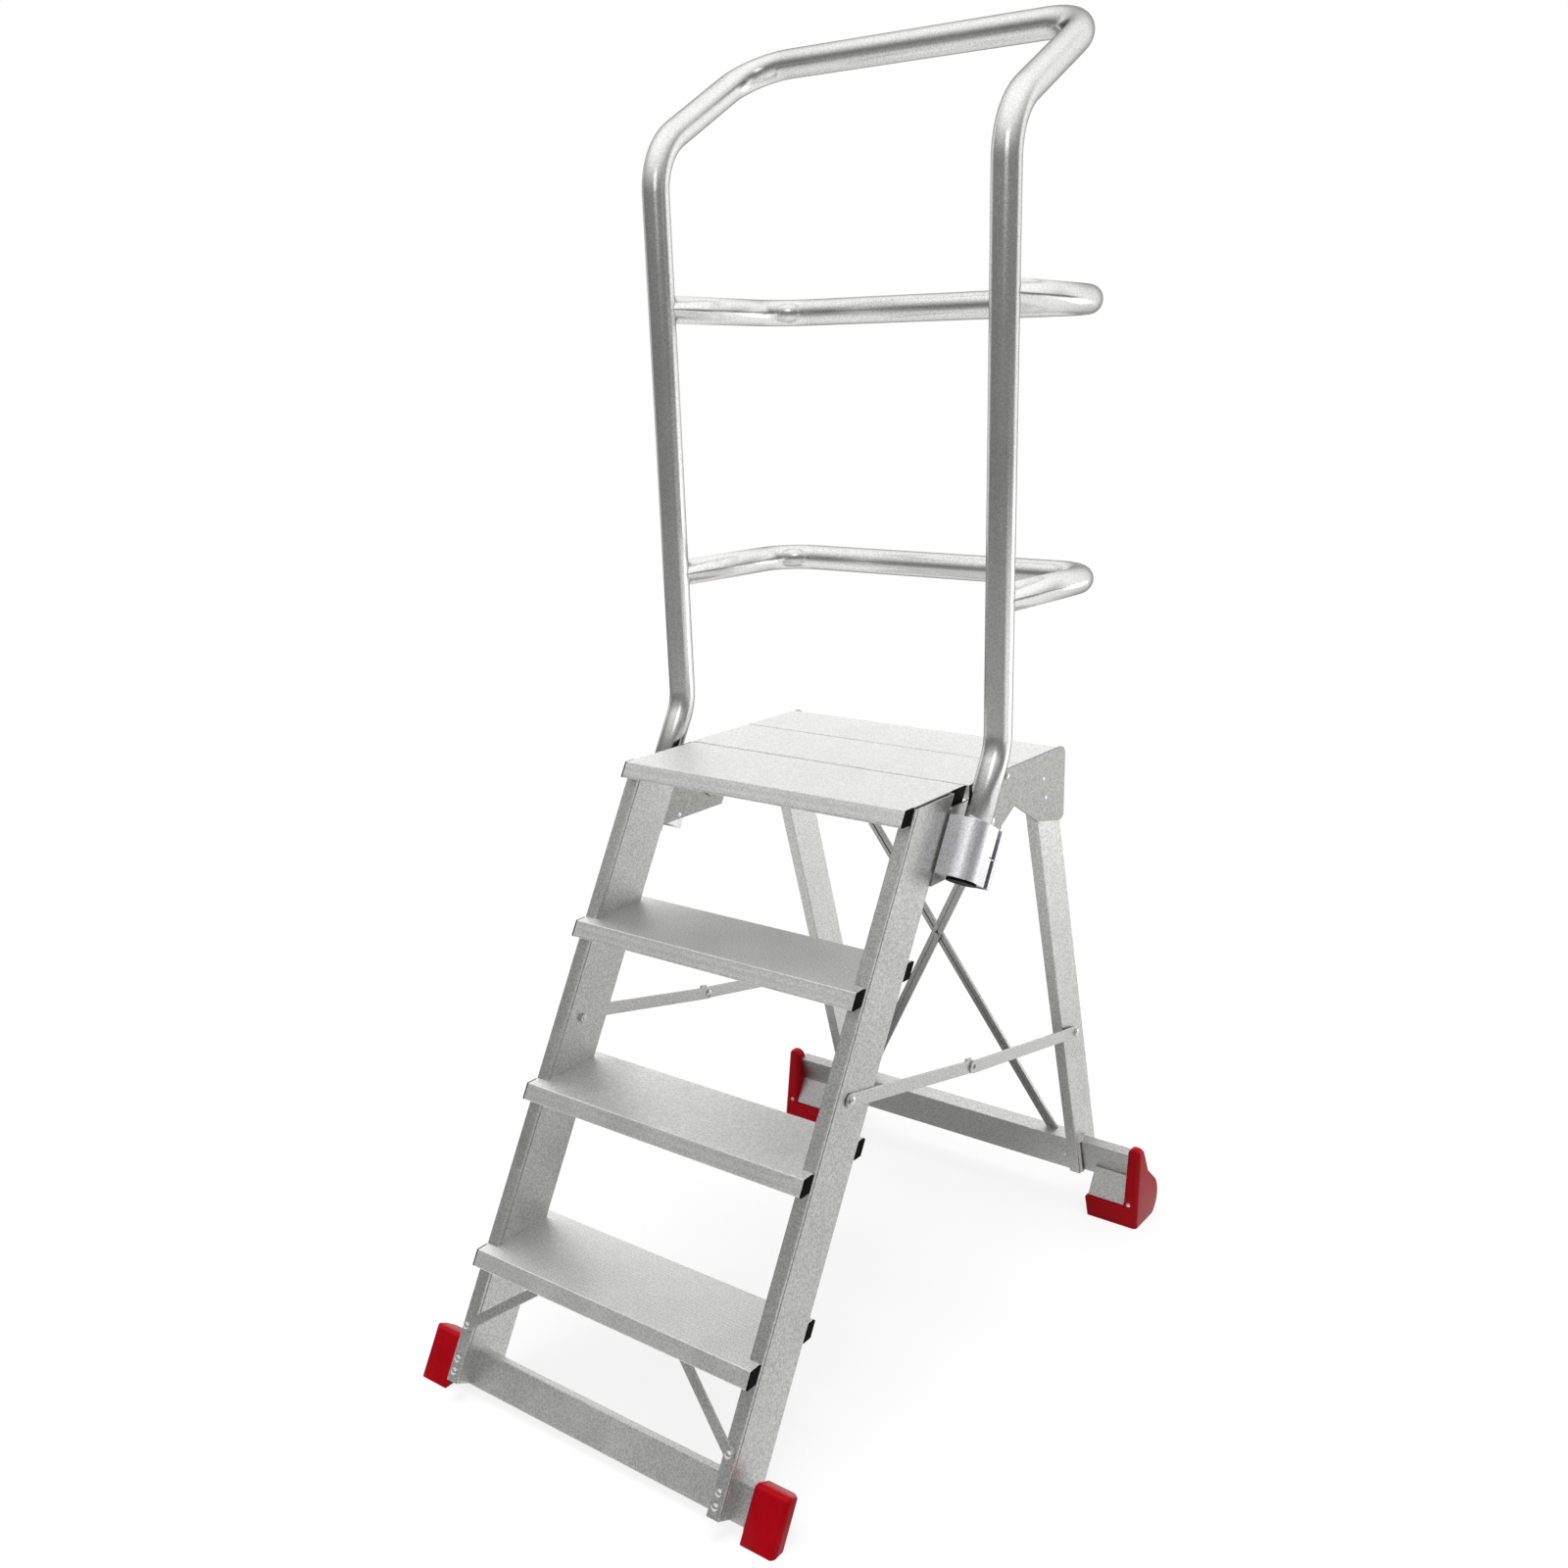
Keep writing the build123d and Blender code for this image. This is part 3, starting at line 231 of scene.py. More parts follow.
def new_group(name: str, values: dict[str, float], output: str) -> tuple[Tree, Node, Node]:
    """Make an empty shader node group that reads a vector and some values, and puts out one value.

    Args:
        name: Name of the group.
        values: Its value inputs with their defaults.
        output: Name of its output.

    Returns:
        The node tree, its input node and its output node.
    """
    tree = bpy.data.node_groups.new(name, "ShaderNodeTree")
    tree.interface.new_socket("Vector", in_out="INPUT", socket_type="NodeSocketVector")
    for label, default in values.items():
        socket = tree.interface.new_socket(label, in_out="INPUT", socket_type="NodeSocketFloat")
        socket.default_value = default
    tree.interface.new_socket(output, in_out="OUTPUT", socket_type="NodeSocketFloat")
    return tree, tree.nodes.new("NodeGroupInput"), tree.nodes.new("NodeGroupOutput")


def group_node(tree: Tree, group: Tree, vector: Socket, **values: float) -> Socket:
    """Place a shared effect in a material.

    Args:
        tree: The material's node tree.
        group: The shared effect.
        vector: Coordinates that it reads.
        values: Its other inputs by name.

    Returns:
        What the effect puts out.
    """
    node = tree.nodes.new("ShaderNodeGroup")
    node.node_tree = group
    tree.links.new(vector, node.inputs["Vector"])
    for label, value in values.items():
        node.inputs[label].default_value = value
    return node.outputs[0]


@dataclass(frozen=True)
class NoiseLook:
    """Noise whose middle values are spread to run from 0 to 1; its scale is in grains per metre."""

    name: str
    output: str
    scale: float
    detail: float
    warp: float
    span: Span

    def group(self) -> Tree:
        """Build the shared effect.

        Returns:
            Its node tree, with the scale as an input.
        """
        tree, source, sink = new_group(self.name, {"Scale": self.scale}, self.output)
        noise = tree.nodes.new("ShaderNodeTexNoise")
        noise.inputs["Detail"].default_value = self.detail
        noise.inputs["Distortion"].default_value = self.warp
        for label in ("Vector", "Scale"):
            tree.links.new(source.outputs[label], noise.inputs[label])
        tree.links.new(ramp_node(tree, noise.outputs[0], self.span, (0.0, 1.0)), sink.inputs[self.output])
        return tree


# Sparkle of a milled surface, and broad smudges from handling and storage
MILL_SPECKLE = NoiseLook("mill_speckle", "Speckle", scale=340.0, detail=1.0, warp=0.0, span=(0.38, 0.62))
HANDLING_MARKS = NoiseLook("handling_marks", "Smudge", scale=7.0, detail=5.0, warp=0.6, span=(0.32, 0.68))

# Streaks per metre along and across the drawing direction, and how finely they break up
GRAIN_ALONG = 6.0
GRAIN_ACROSS = 900.0
GRAIN_DETAIL = 3.0

# Radians that Blender's wave runs through in a metre at scale 1
WAVE_TURN = 20


class SurfaceEffects:
    """Node groups that several finishes share."""

    def __init__(self) -> None:
        """Build each group once."""
        self.drawn = self._drawn_grain()
        self.speckle = MILL_SPECKLE.group()
        self.handling = HANDLING_MARKS.group()

    @staticmethod
    def _drawn_grain() -> Tree:
        """Fine streaks: noise that is stretched along the pattern's first axis.

        Returns:
            The effect's node tree.
        """
        scales = {"Along": GRAIN_ALONG, "Across": GRAIN_ACROSS}
        tree, source, sink = new_group("drawn_grain", scales, "Streak")
        stretch = tree.nodes.new("ShaderNodeCombineXYZ")
        for socket, label in zip(stretch.inputs, ("Along", "Across", "Across")):
            tree.links.new(source.outputs[label], socket)
        place = source.outputs["Vector"]
        scaled = step_node(tree, "ShaderNodeVectorMath", "MULTIPLY", place, stretch.outputs[0])
        noise = tree.nodes.new("ShaderNodeTexNoise")
        noise.inputs["Scale"].default_value = 1.0
        noise.inputs["Detail"].default_value = GRAIN_DETAIL
        tree.links.new(scaled.outputs[0], noise.inputs["Vector"])
        tree.links.new(noise.outputs[0], sink.inputs["Streak"])
        return tree


@dataclass(frozen=True)
class Finish:
    """What all finishes have: a name, two tones that are blended, and a span of roughness."""

    name: str
    dark: Triple
    light: Triple
    roughness: Span

    def build(self, effects: SurfaceEffects) -> Material:
        """Make the material, whose only shader is a Principled BSDF.

        Args:
            effects: Shared node groups.

        Returns:
            The finished material.
        """
        material = bpy.data.materials.new(self.name)
        material.use_nodes = True
        tree = material.node_tree
        self.set_up(tree, tree.nodes["Principled BSDF"], effects)
        return material

    def set_up(self, tree: Tree, shader: Node, effects: SurfaceEffects) -> None:
        """Set up the shader, which each kind of finish does in its own way."""
        raise NotImplementedError

    def tone(self, tree: Tree, shader: Node, share: Socket, wear: Socket) -> None:
        """Blend the two tones and set the roughness.

        Args:
            tree: The material's node tree.
            shader: Its shader.
            share: Share of the light tone.
            wear: Place in the span of roughness, from 0 to 1.
        """
        blend = tree.nodes.new("ShaderNodeMix")
        blend.data_type = "RGBA"
        blend.inputs["A"].default_value = (*self.dark, 1.0)
        blend.inputs["B"].default_value = (*self.light, 1.0)
        tree.links.new(share, blend.inputs["Factor"])
        tree.links.new(blend.outputs["Result"], shader.inputs["Base Color"])
        tree.links.new(ramp_node(tree, wear, (0.0, 1.0), self.roughness), shader.inputs["Roughness"])

    @staticmethod
    def raise_skin(tree: Tree, shader: Node, height: Socket, strength: float, depth: float) -> Node:
        """Give the surface a fine relief.

        Args:
            tree: The material's node tree.
            shader: Its shader.
            height: The relief, from 0 to 1.
            strength: Share of the relief that shows.
            depth: Depth of the relief in metres.

        Returns:
            The bump node.
        """
        bump = tree.nodes.new("ShaderNodeBump")
        bump.inputs["Strength"].default_value = strength
        bump.inputs["Distance"].default_value = depth
        tree.links.new(height, bump.inputs["Height"])
        tree.links.new(bump.outputs["Normal"], shader.inputs["Normal"])
        return bump


@dataclass(frozen=True)
class MetalFinish(Finish):
    """A bare metal with drawn streaks, mill speckle and broad smudges.

    Streak and speckle are shares of the tone, and smudges are the rest. Relief, rib pitch and edge rounding
    are in metres. Rim is how bright the metal stays where it turns away; below 1 it paints shade along the
    edges, standing in for the darker room that the metal would mirror there.
    """

    grain: Grain = Grain.ACROSS
    streak: float = 0.25
    speckle: float = 0.55
    streak_wear: float = 0.4
    bump: float = 0.12
    relief: float = 0.0006
    speckle_relief: float = 0.5
    rib_pitch: float = 0.0
    rib_relief: float = 1.2
    along: float = GRAIN_ALONG
    across: float = GRAIN_ACROSS
    edge: float = 0.0012
    edge_samples: int = 6
    rim: float = 1.0
    follows_tube: bool = False

    def set_up(self, tree: Tree, shader: Node, effects: SurfaceEffects) -> None:
        """Set up the shader: streaks, speckle and smudges add up to the tone, the wear and the relief.

        Args:
            tree: The material's node tree.
            shader: Its shader.
            effects: Shared node groups.
        """
        shader.inputs["Metallic"].default_value = 1.0
        # A tint below 1 darkens the metal where it turns away: painted shade on the rims
        shader.inputs["Specular Tint"].default_value = (self.rim, self.rim, self.rim, 1.0)
        coordinates = tree.nodes.new("ShaderNodeTexCoord")
        place = coordinates.outputs["Object"]
        turn = tree.nodes.new("ShaderNodeMapping")
        turn.vector_type = "TEXTURE"
        turn.inputs["Rotation"].default_value = SIZES.grain_turn(self.grain)
        tree.links.new(coordinates.outputs["UV"] if self.follows_tube else place, turn.inputs["Vector"])
        streaks = group_node(tree, effects.drawn, turn.outputs[0], Along=self.along, Across=self.across)
        sparkle = group_node(tree, effects.speckle, place)
        marks = group_node(tree, effects.handling, place)
        smudge = 1.0 - self.streak - self.speckle
        share = weighted_sum(tree, (streaks, self.streak), (sparkle, self.speckle), (marks, smudge))
        wear = weighted_sum(tree, (streaks, self.streak_wear), (marks, 1.0 - self.streak_wear))
        self.tone(tree, shader, share, wear)
        reliefs = [(streaks, 1.0), (sparkle, self.speckle_relief)]
        if self.rib_pitch:
            reliefs.append((self._ribs(tree, place), self.rib_relief))
        bump = self.raise_skin(tree, shader, weighted_sum(tree, *reliefs), self.bump, self.relief)
        if self.edge:
            rounding = tree.nodes.new("ShaderNodeBevel")
            rounding.samples = self.edge_samples
            rounding.inputs["Radius"].default_value = self.edge
            tree.links.new(rounding.outputs["Normal"], bump.inputs["Normal"])

    def _ribs(self, tree: Tree, place: Socket) -> Socket:
        """Fine grip ribs along X: a wave in Y with the given pitch.

        Args:
            tree: The material's node tree.
            place: Coordinates that it reads.

        Returns:
            The ribs' height, from 0 to 1.
        """
        wave = tree.nodes.new("ShaderNodeTexWave")
        wave.bands_direction = "Y"
        wave.inputs["Scale"].default_value = 2 * math.pi / self.rib_pitch / WAVE_TURN
        tree.links.new(place, wave.inputs["Vector"])
        return wave.outputs["Fac"]


@dataclass(frozen=True)
class PlasticFinish(Finish):
    """Moulded plastic: one pigment with a slight cloud, a fine moulded skin and scuffs."""

    specular: float = 0.3
    coat: float = 0.0
    coat_roughness: float = 0.08
    cloud_scale: float = 14.0
    skin_scale: float = 900.0
    skin: float = 0.08
    relief: float = 0.0004

    def set_up(self, tree: Tree, shader: Node, effects: SurfaceEffects) -> None:
        """Set up the shader.

        Args:
            tree: The material's node tree.
            shader: Its shader.
            effects: Shared node groups.
        """
        shader.inputs["Specular IOR Level"].default_value = self.specular
        shader.inputs["Coat Weight"].default_value = self.coat
        shader.inputs["Coat Roughness"].default_value = self.coat_roughness
        place = tree.nodes.new("ShaderNodeTexCoord").outputs["Object"]
        cloud = group_node(tree, effects.handling, place, Scale=self.cloud_scale)
        skin = group_node(tree, effects.speckle, place, Scale=self.skin_scale)
        self.tone(tree, shader, cloud, cloud)
        self.raise_skin(tree, shader, skin, self.skin, self.relief)


# Spans of roughness that several metals share, and the pitch of the grip ribs
SATIN = (0.36, 0.50)
RIBBED = (0.38, 0.52)
DULL = (0.40, 0.52)
RIB_PITCH = 0.006

STILE_METAL = MetalFinish("stile_satin", (0.38, 0.38, 0.37), (0.70, 0.70, 0.685), SATIN, Grain.STILE)
LEG_METAL = MetalFinish("leg_satin", (0.42, 0.42, 0.405), (0.78, 0.78, 0.76), SATIN, Grain.LEG)
FRONT_BAR_METAL = MetalFinish("front_bar_satin", (0.47, 0.47, 0.46), (0.83, 0.83, 0.81), SATIN)
REAR_BAR_METAL = MetalFinish("rear_bar_satin", (0.46, 0.46, 0.455), (0.80, 0.80, 0.785), SATIN)
STUB_METAL = MetalFinish("stub_satin", (0.36, 0.36, 0.355), (0.64, 0.64, 0.63), SATIN)
TREAD_METAL = MetalFinish(
    "tread_ribbed", (0.64, 0.64, 0.63), (0.97, 0.97, 0.955), RIBBED, rib_pitch=RIB_PITCH
)
PLATFORM_METAL = MetalFinish(
    "platform_ribbed", (0.64, 0.64, 0.635), (0.97, 0.97, 0.965), RIBBED, rib_pitch=RIB_PITCH, edge=0.0020
)
PLATE_METAL = MetalFinish("plate_satin", (0.24, 0.24, 0.23), (0.47, 0.47, 0.45), DULL, Grain.LENGTHWISE)
BRACKET_METAL = MetalFinish("bracket_satin", (0.52, 0.52, 0.51), (0.88, 0.88, 0.86), DULL)
SLEEVE_METAL = MetalFinish(
    "sleeve_satin", (0.60, 0.60, 0.64), (0.95, 0.945, 0.99), (0.31, 0.43), Grain.STILE
)
BRACE_METAL = MetalFinish(
    "cross_brace_satin", (0.27, 0.27, 0.265), (0.52, 0.52, 0.51), (0.30, 0.42), Grain.UPRIGHT
)
LINK_METAL = MetalFinish(
    "link_satin", (0.42, 0.42, 0.415), (0.74, 0.74, 0.73), (0.34, 0.48), Grain.LENGTHWISE
)
# The tubes' low rim paints shade along their edges
TUBE_METAL = MetalFinish(
    "guardrail_bright", (0.70, 0.70, 0.69), (0.97, 0.97, 0.96), (0.18, 0.26), streak=0.3, speckle=0.5,
    bump=0.05, along=3.0, across=260.0, edge=0.0, rim=0.28, follows_tube=True,
)
ZINC_METAL = MetalFinish(
    "fastener_zinc", (0.50, 0.50, 0.50), (0.85, 0.85, 0.84), (0.18, 0.30), across=1500.0, edge=0.0004
)
WELD_METAL = MetalFinish(
    "weld_bead", (0.34, 0.34, 0.34), (0.62, 0.62, 0.62), (0.30, 0.50), bump=0.3, edge=0.0
)
FOOT_PLASTIC = PlasticFinish(
    "foot_red", (0.33, 0.0005, 0.004), (0.42, 0.0008, 0.008), (0.24, 0.34), specular=0.06, coat=0.08
)
PLUG_PLASTIC = PlasticFinish(
    "plug_black", (0.0015, 0.0015, 0.0015), (0.005, 0.005, 0.005), (0.45, 0.60), specular=0.03
)


def unit(vectors: Array) -> Array:
    """Vectors with the same directions and length 1."""
    return vectors / np.linalg.norm(vectors, axis=-1, keepdims=True)


def full_turn(count: int) -> Array:
    """Angles that share a full turn evenly, its end left out."""
    return np.linspace(0, 2 * np.pi, count, endpoint=False)


def circles(first: Array, second: Array, sides: int) -> Array:
    """Unit circles, one for each pair of axes, whose points are cos(a) first + sin(a) second."""
    angle = full_turn(sides)[None, :, None]
    return np.cos(angle) * first[:, None] + np.sin(angle) * second[:, None]


def quad_corners(rows: int, columns: int) -> tuple[Array, Array]:
    """Corners of the quads on a grid, in order round each quad.

    Args:
        rows: Quads along the rows' direction.
        columns: Quads along the columns' direction.

    Returns:
        The row and the column of each corner, by quad.
    """
    row, column = np.meshgrid(np.arange(rows), np.arange(columns), indexing="ij")
    corner_rows = np.stack([row, row + 1, row + 1, row], -1)
    corner_columns = np.stack([column, column, column + 1, column + 1], -1)
    return corner_rows.reshape(-1, 4), corner_columns.reshape(-1, 4)


def smooth_object(name: str, mesh: bpy.types.Mesh) -> Piece:
    """Shade a mesh smooth and bring it into the scene.

    Args:
        name: Name of the piece.
        mesh: Its mesh.

    Returns:
        The new object, at the origin.
    """
    mesh.polygons.foreach_set("use_smooth", np.ones(len(mesh.polygons), bool))
    piece = bpy.data.objects.new(name, mesh)
    bpy.context.scene.collection.objects.link(piece)
    return piece


def quad_object(name: str, points: Array, faces: Array) -> Piece:
    """Put points and quads into a mesh, and bring it into the scene.

    Args:
        name: Name of the piece.
        points: The points, in any grid.
        faces: The four point numbers of each quad.

    Returns:
        The new object, at the origin.
    """
    mesh = bpy.data.meshes.new(name)
    mesh.from_pydata(points.reshape(-1, 3).tolist(), [], faces.tolist())
    return smooth_object(name, mesh)


def surface_object(name: str, grid: Array, closed: tuple[bool, bool], uv: Array | None = None) -> Piece:
    """Put a grid of points into a mesh of quads.

    Args:
        name: Name of the piece.
        grid: Points by row, by column and by coordinate.
        closed: Whether the rows and the columns run back to their start.
        uv: Coordinates on the surface with one more row or column where it is closed.

    Returns:
        The new object, at the origin.
    """
    rows, columns = grid.shape[:2]
    corner_rows, corner_columns = quad_corners(rows - (not closed[0]), columns - (not closed[1]))
    piece = quad_object(name, grid, (corner_rows % rows) * columns + corner_columns % columns)
    if uv is not None:
        layer = piece.data.uv_layers.new(name="Surface")
        layer.data.foreach_set("uv", uv[corner_rows, corner_columns].astype(np.float32).ravel())
    return piece


def close_and_point_out(piece: Piece, gap: float = 1e-6) -> None:
    """Merge doubled points, as at poles and seams, and turn all faces outwards.

    Args:
        piece: The piece.
        gap: Distance within which points are one.
    """
    work = bmesh.new()
    work.from_mesh(piece.data)
    bmesh.ops.remove_doubles(work, verts=work.verts, dist=gap)
    bmesh.ops.recalc_face_normals(work, faces=work.faces)
    work.to_mesh(piece.data)
    work.free()


def lathe_object(name: str, profile: Array, centres: Array, axes: Array, sides: int) -> Piece:
    """Turn one profile about several axes, as one piece.

    With u and w square to an axis n, a point is centre + r cos(a) u + r sin(a) w + h n, where r and h run
    along the profile and a round the axis.

    Args:
        name: Name of the piece.
        profile: Radius and height of each profile point, by copy, with radius 0 at both ends.
        centres: The point on each axis that heights start from.
        axes: Unit direction of each axis.
        sides: Points round an axis.

    Returns:
        The closed piece.
    """
    helper = np.where(np.abs(axes[:, :1]) < NEARLY_X, [[1.0, 0.0, 0.0]], [[0.0, 0.0, 1.0]])
    first = unit(np.cross(axes, helper))
    ring = circles(first, np.cross(axes, first), sides)
    grid = (
        centres[:, None, None]
        + profile[:, :, None, :1] * ring[:, None]
        + profile[:, :, None, 1:] * axes[:, None, None]
    )
    copies, rows = profile.shape[:2]
    corner_rows, corner_columns = quad_corners(rows - 1, sides)
    faces = corner_rows * sides + corner_columns % sides
    starts = np.arange(copies) * rows * sides
    piece = quad_object(name, grid, (faces[None] + starts[:, None, None]).reshape(-1, 4))
    close_and_point_out(piece)
    return piece


def bent_path(corners: Array, bends: Array, steps: int = 14) -> Array:
    """Points along straight runs that are joined by tangent arcs.

    At a corner with turn t and radius r the arc starts r tan(t/2) before the corner. With n the unit vector
    from its start to its centre and a the run's direction, its points are centre - r cos(s) n + r sin(s) a.

    Args:
        corners: Corner points of the path, ends included.
        bends: Radius at each inner corner.
        steps: Spans in each arc.

    Returns:
        The points in order.
    """
    runs = unit(np.diff(corners, axis=0))
    before, after = runs[:-1], runs[1:]
    turn = np.arccos(np.clip((before * after).sum(1), -1, 1))
    start = corners[1:-1] - before * (bends * np.tan(turn / 2))[:, None]
    inward = unit(after - before * np.cos(turn)[:, None])
    centre = start + inward * bends[:, None]
    sweep = turn[:, None] * np.linspace(0, 1, steps + 1)
    arcs = (
        centre[:, None]
        - (bends[:, None] * np.cos(sweep))[..., None] * inward[:, None]
        + (bends[:, None] * np.sin(sweep))[..., None] * before[:, None]
    )
    return np.concatenate([corners[:1], arcs.reshape(-1, 3), corners[-1:]])


def tube_grid(path: Array, radius: float, sides: int, guide: Array) -> tuple[Array, Array]:
    """A round profile carried along a path.

    Each ring lies square to the mean of the two runs that meet there. Its first axis is the guide less its
    part along the path, its second is square to both, and a ring point is
    path + r cos(a) first + r sin(a) second.

    Args:
        path: Points along the middle of the tube.
        radius: Radius of the tube.
        sides: Points in each ring.
        guide: A direction that the path never follows.

    Returns:
        The points by ring, and coordinates on the surface in metres along and around.
    """
    runs = np.diff(path, axis=0)
    lengths = np.linalg.norm(runs, axis=1)
    runs = unit(runs)
    ahead = unit(np.concatenate([runs[:1], runs[:-1] + runs[1:], runs[-1:]]))
    first = unit(guide - (ahead @ guide)[:, None] * ahead)
    grid = path[:, None] + radius * circles(first, np.cross(ahead, first), sides)
    along = np.concatenate([[0.0], np.cumsum(lengths)])
    around = radius * np.linspace(0, 2 * np.pi, sides + 1)
    return grid, np.stack(np.meshgrid(along, around, indexing="ij"), -1)


@dataclass
class Guardrail:
    """Bent hoop, two mid rails and the weld beads where these meet the uprights, in metres."""

    low_bend: float = 0.100
    high_bend: float = 0.110
    corner_bend: float = 0.080
    rail_bend: float = 0.070
    sides: int = 40
    hoop_guide: Triple = (0.35, 0.85, -0.55)
    rail_guide: Triple = (0.0, 0.0, 1.0)
    bead_radius: float = 0.0021
    bead_ripples: int = 44
    bead_swell: float = 0.16
    bead_lift: float = 0.0004
    bead_squeeze: float = 0.97
    bead_steps: int = 352
    bead_sides: int = 10

    def build(self, metal: Material, weld: Material) -> list[Piece]:
        """Make the tubes and beads, and set them on the guardrail.

        Args:
            metal: Finish of the tubes.
            weld: Finish of the beads.

        Returns:
            The new pieces.
        """
        pieces = [self._hoop(metal)]
        rails = {"lower_mid_rail": SIZES.lower_rail_rise, "upper_mid_rail": SIZES.upper_rail_rise}
        for node, rise in rails.items():
            pieces.append(self._rail(node, rise, metal))
            pieces.extend(self._beads(node, rise, weld))
        return pieces

    def _carry(self, half: Array, bends: tuple[float, ...], guide: Triple) -> tuple[Array, Array]:
        """Carry the tube's circle along half a path and back along its mirror image.

        Args:
            half: Corner points on the right side.
            bends: Radius at each corner after the first.
            guide: A direction that the path never follows.

        Returns:
            The points by ring, and coordinates on the surface.
        """
        corners = np.concatenate([half, half[::-1] * MIRROR])
        path = bent_path(corners, np.array(bends + bends[::-1]))
        return tube_grid(path, SIZES.tube_radius, self.sides, np.array(guide))

    def _tube(self, name: str, node: str, grid: Array, uv: Array, metal: Material) -> Piece:
        """Make a tube with its wall inwards, in place of a solid.

        Args:
            name: Name of the piece.
            node: The solid that it stands for.
            grid: Points of its skin, by ring.
            uv: Coordinates on the skin.
            metal: Its finish.

        Returns:
            The piece.
        """
        piece = surface_object(name, grid, (False, True), uv)
        wall = piece.modifiers.new("wall", "SOLIDIFY")
        wall.thickness = SIZES.tube_wall
        wall.offset = -1.0
        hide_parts(node)
        return self._finish(piece, metal)

    @staticmethod
    def _finish(piece: Piece, material: Material) -> Piece:
        """Give a piece its finish and let it ride on the guardrail.

        Args:
            piece: The piece.
            material: Its finish.

        Returns:
            The same piece.
        """
        piece.data.materials.append(material)
        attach(piece, "guardrail")
        return piece

    def _hoop(self, metal: Material) -> Piece:
        """Carry a circle from one sleeve up, over the platform and down to the other sleeve.

        Args:
            metal: Finish of the tube.

        Returns:
            The piece.
        """
        lean, deck, x, y = SIZES.front_lean, SIZES.platform_height, SIZES.tube_x, SIZES.upright_y
        bend_rise = (math.cos(lean) * SIZES.upright_setback - SIZES.tube_setback) / math.sin(lean)
        half = np.array([
            SIZES.on_stile(x, SIZES.tube_setback, SIZES.tube_end_along),
            (x, y, deck + bend_rise),
            (x, y, deck + SIZES.shoulder_rise),
            (x, SIZES.nose_y + SIZES.top_setback, deck + SIZES.top_rise),
        ])
        grid, uv = self._carry(half, (self.low_bend, self.high_bend, self.corner_bend), self.hoop_guide)
        return self._tube("hoop_tube", "guardrail_hoop", grid, uv, metal)

    def _rail(self, node: str, rise: float, metal: Material) -> Piece:
        """Carry a circle round the back, and shape its ends to the uprights.

        An end point at x from the upright's middle moves along the tube to sqrt(R^2 - x^2), so the end lies
        on the upright's skin.

        Args:
            node: The rail's solid.
            rise: Its height above the platform.
            metal: Finish of the tube.

        Returns:
            The piece.
        """
        height = SIZES.platform_height + rise
        rail_y = SIZES.nose_y + SIZES.rail_setback
        half = np.array([(SIZES.tube_x, SIZES.upright_y, height), (SIZES.tube_x, rail_y, height)])
        grid, uv = self._carry(half, (self.rail_bend,), self.rail_guide)
        for end in (0, -1):
            off = np.abs(grid[end, :, 0]) - SIZES.tube_x
            grid[end, :, 1] = SIZES.upright_y + np.sqrt(np.maximum(SIZES.tube_radius**2 - off**2, 0.0))
        return self._tube(node + "_tube", node, grid, uv, metal)

    def _beads(self, node: str, rise: float, weld: Material) -> list[Piece]:
        """Carry a small rippled circle round each saddle where a rail meets an upright.

        With a the angle round the rail, R the tubes' radius and S = R + lift, the saddle is x = S cos(a),
        z = S sin(a) and y = sqrt(R^2 - (squeeze x)^2). The bead's radius is r (1 + swell cos(n a)).

        Args:
            node: The rail's solid.
            rise: Its height above the platform.
            weld: Finish of the beads.

        Returns:
            The bead on the right and the bead on the left.
        """
        angle = full_turn(self.bead_steps)
        reach = SIZES.tube_radius + self.bead_lift
        off = self.bead_squeeze * reach * np.cos(angle)
        y = SIZES.upright_y + np.sqrt(np.maximum(SIZES.tube_radius**2 - off**2, 0.0))
        z = SIZES.platform_height + rise + reach * np.sin(angle)
        radius = self.bead_radius * (1 + self.bead_swell * np.cos(self.bead_ripples * angle))
        beads = []
        for label, side in (("right", 1), ("left", -1)):
            path = np.stack([side * SIZES.tube_x + reach * np.cos(angle), y, z], -1)
            ahead = unit(np.roll(path, -1, 0) - np.roll(path, 1, 0))
            outward = np.stack([np.cos(angle), np.zeros_like(angle), np.sin(angle)], -1)
            outward = unit(outward - (outward * ahead).sum(1, keepdims=True) * ahead)
            ring = circles(outward, np.cross(ahead, outward), self.bead_sides)
            grid = path[:, None] + radius[:, None, None] * ring
            piece = surface_object(f"{node}_weld_{label}", grid, (True, True))
            close_and_point_out(piece)
            beads.append(self._finish(piece, weld))
        return beads


@dataclass(frozen=True)
class Dome:
    """Rounded head of a fastener; rise and reach are shares of its radius R, and sink is in metres."""

    rise: float
    power: float
    reach: float
    sink: float
    steps: int
    sides: int

    def profile(self, radii: Array) -> Array:
        """Profile of the head: flat below, then height = rise (1 - s^power) R as s goes from rim to middle.

        Args:
            radii: R of each head.

        Returns:
            Radius and height of each profile point, by head.
        """
        share = np.linspace(1, 0, self.steps)
        reach = self.reach * np.concatenate([[0.0, 1.0], share])
        height = np.concatenate([[0.0, 0.0], self.rise * (1 - share**self.power)])
        profile = np.stack([reach, height], -1)[None] * radii[:, None, None]
        profile[:, :2, 1] = -self.sink
        return profile


CROWN = Dome(rise=0.30, power=2.4, reach=0.985, sink=0.0003, steps=9, sides=28)
PIN_HEAD = Dome(rise=0.32, power=2.0, reach=1.0, sink=0.00063, steps=7, sides=20)


class Facing(Enum):
    """Way in which a fastener's crown points."""

    OUTER_SIDE = "outer side"
    INNER_SIDE = "inner side"
    STILE_FRONT = "stile front"
    LEG_FRONT = "leg front"


@dataclass(frozen=True)
class CrownGroup:
    """Fasteners of one node, and the ways in which their crowns point."""

    node: str
    body: str
    facings: tuple[Facing, ...]


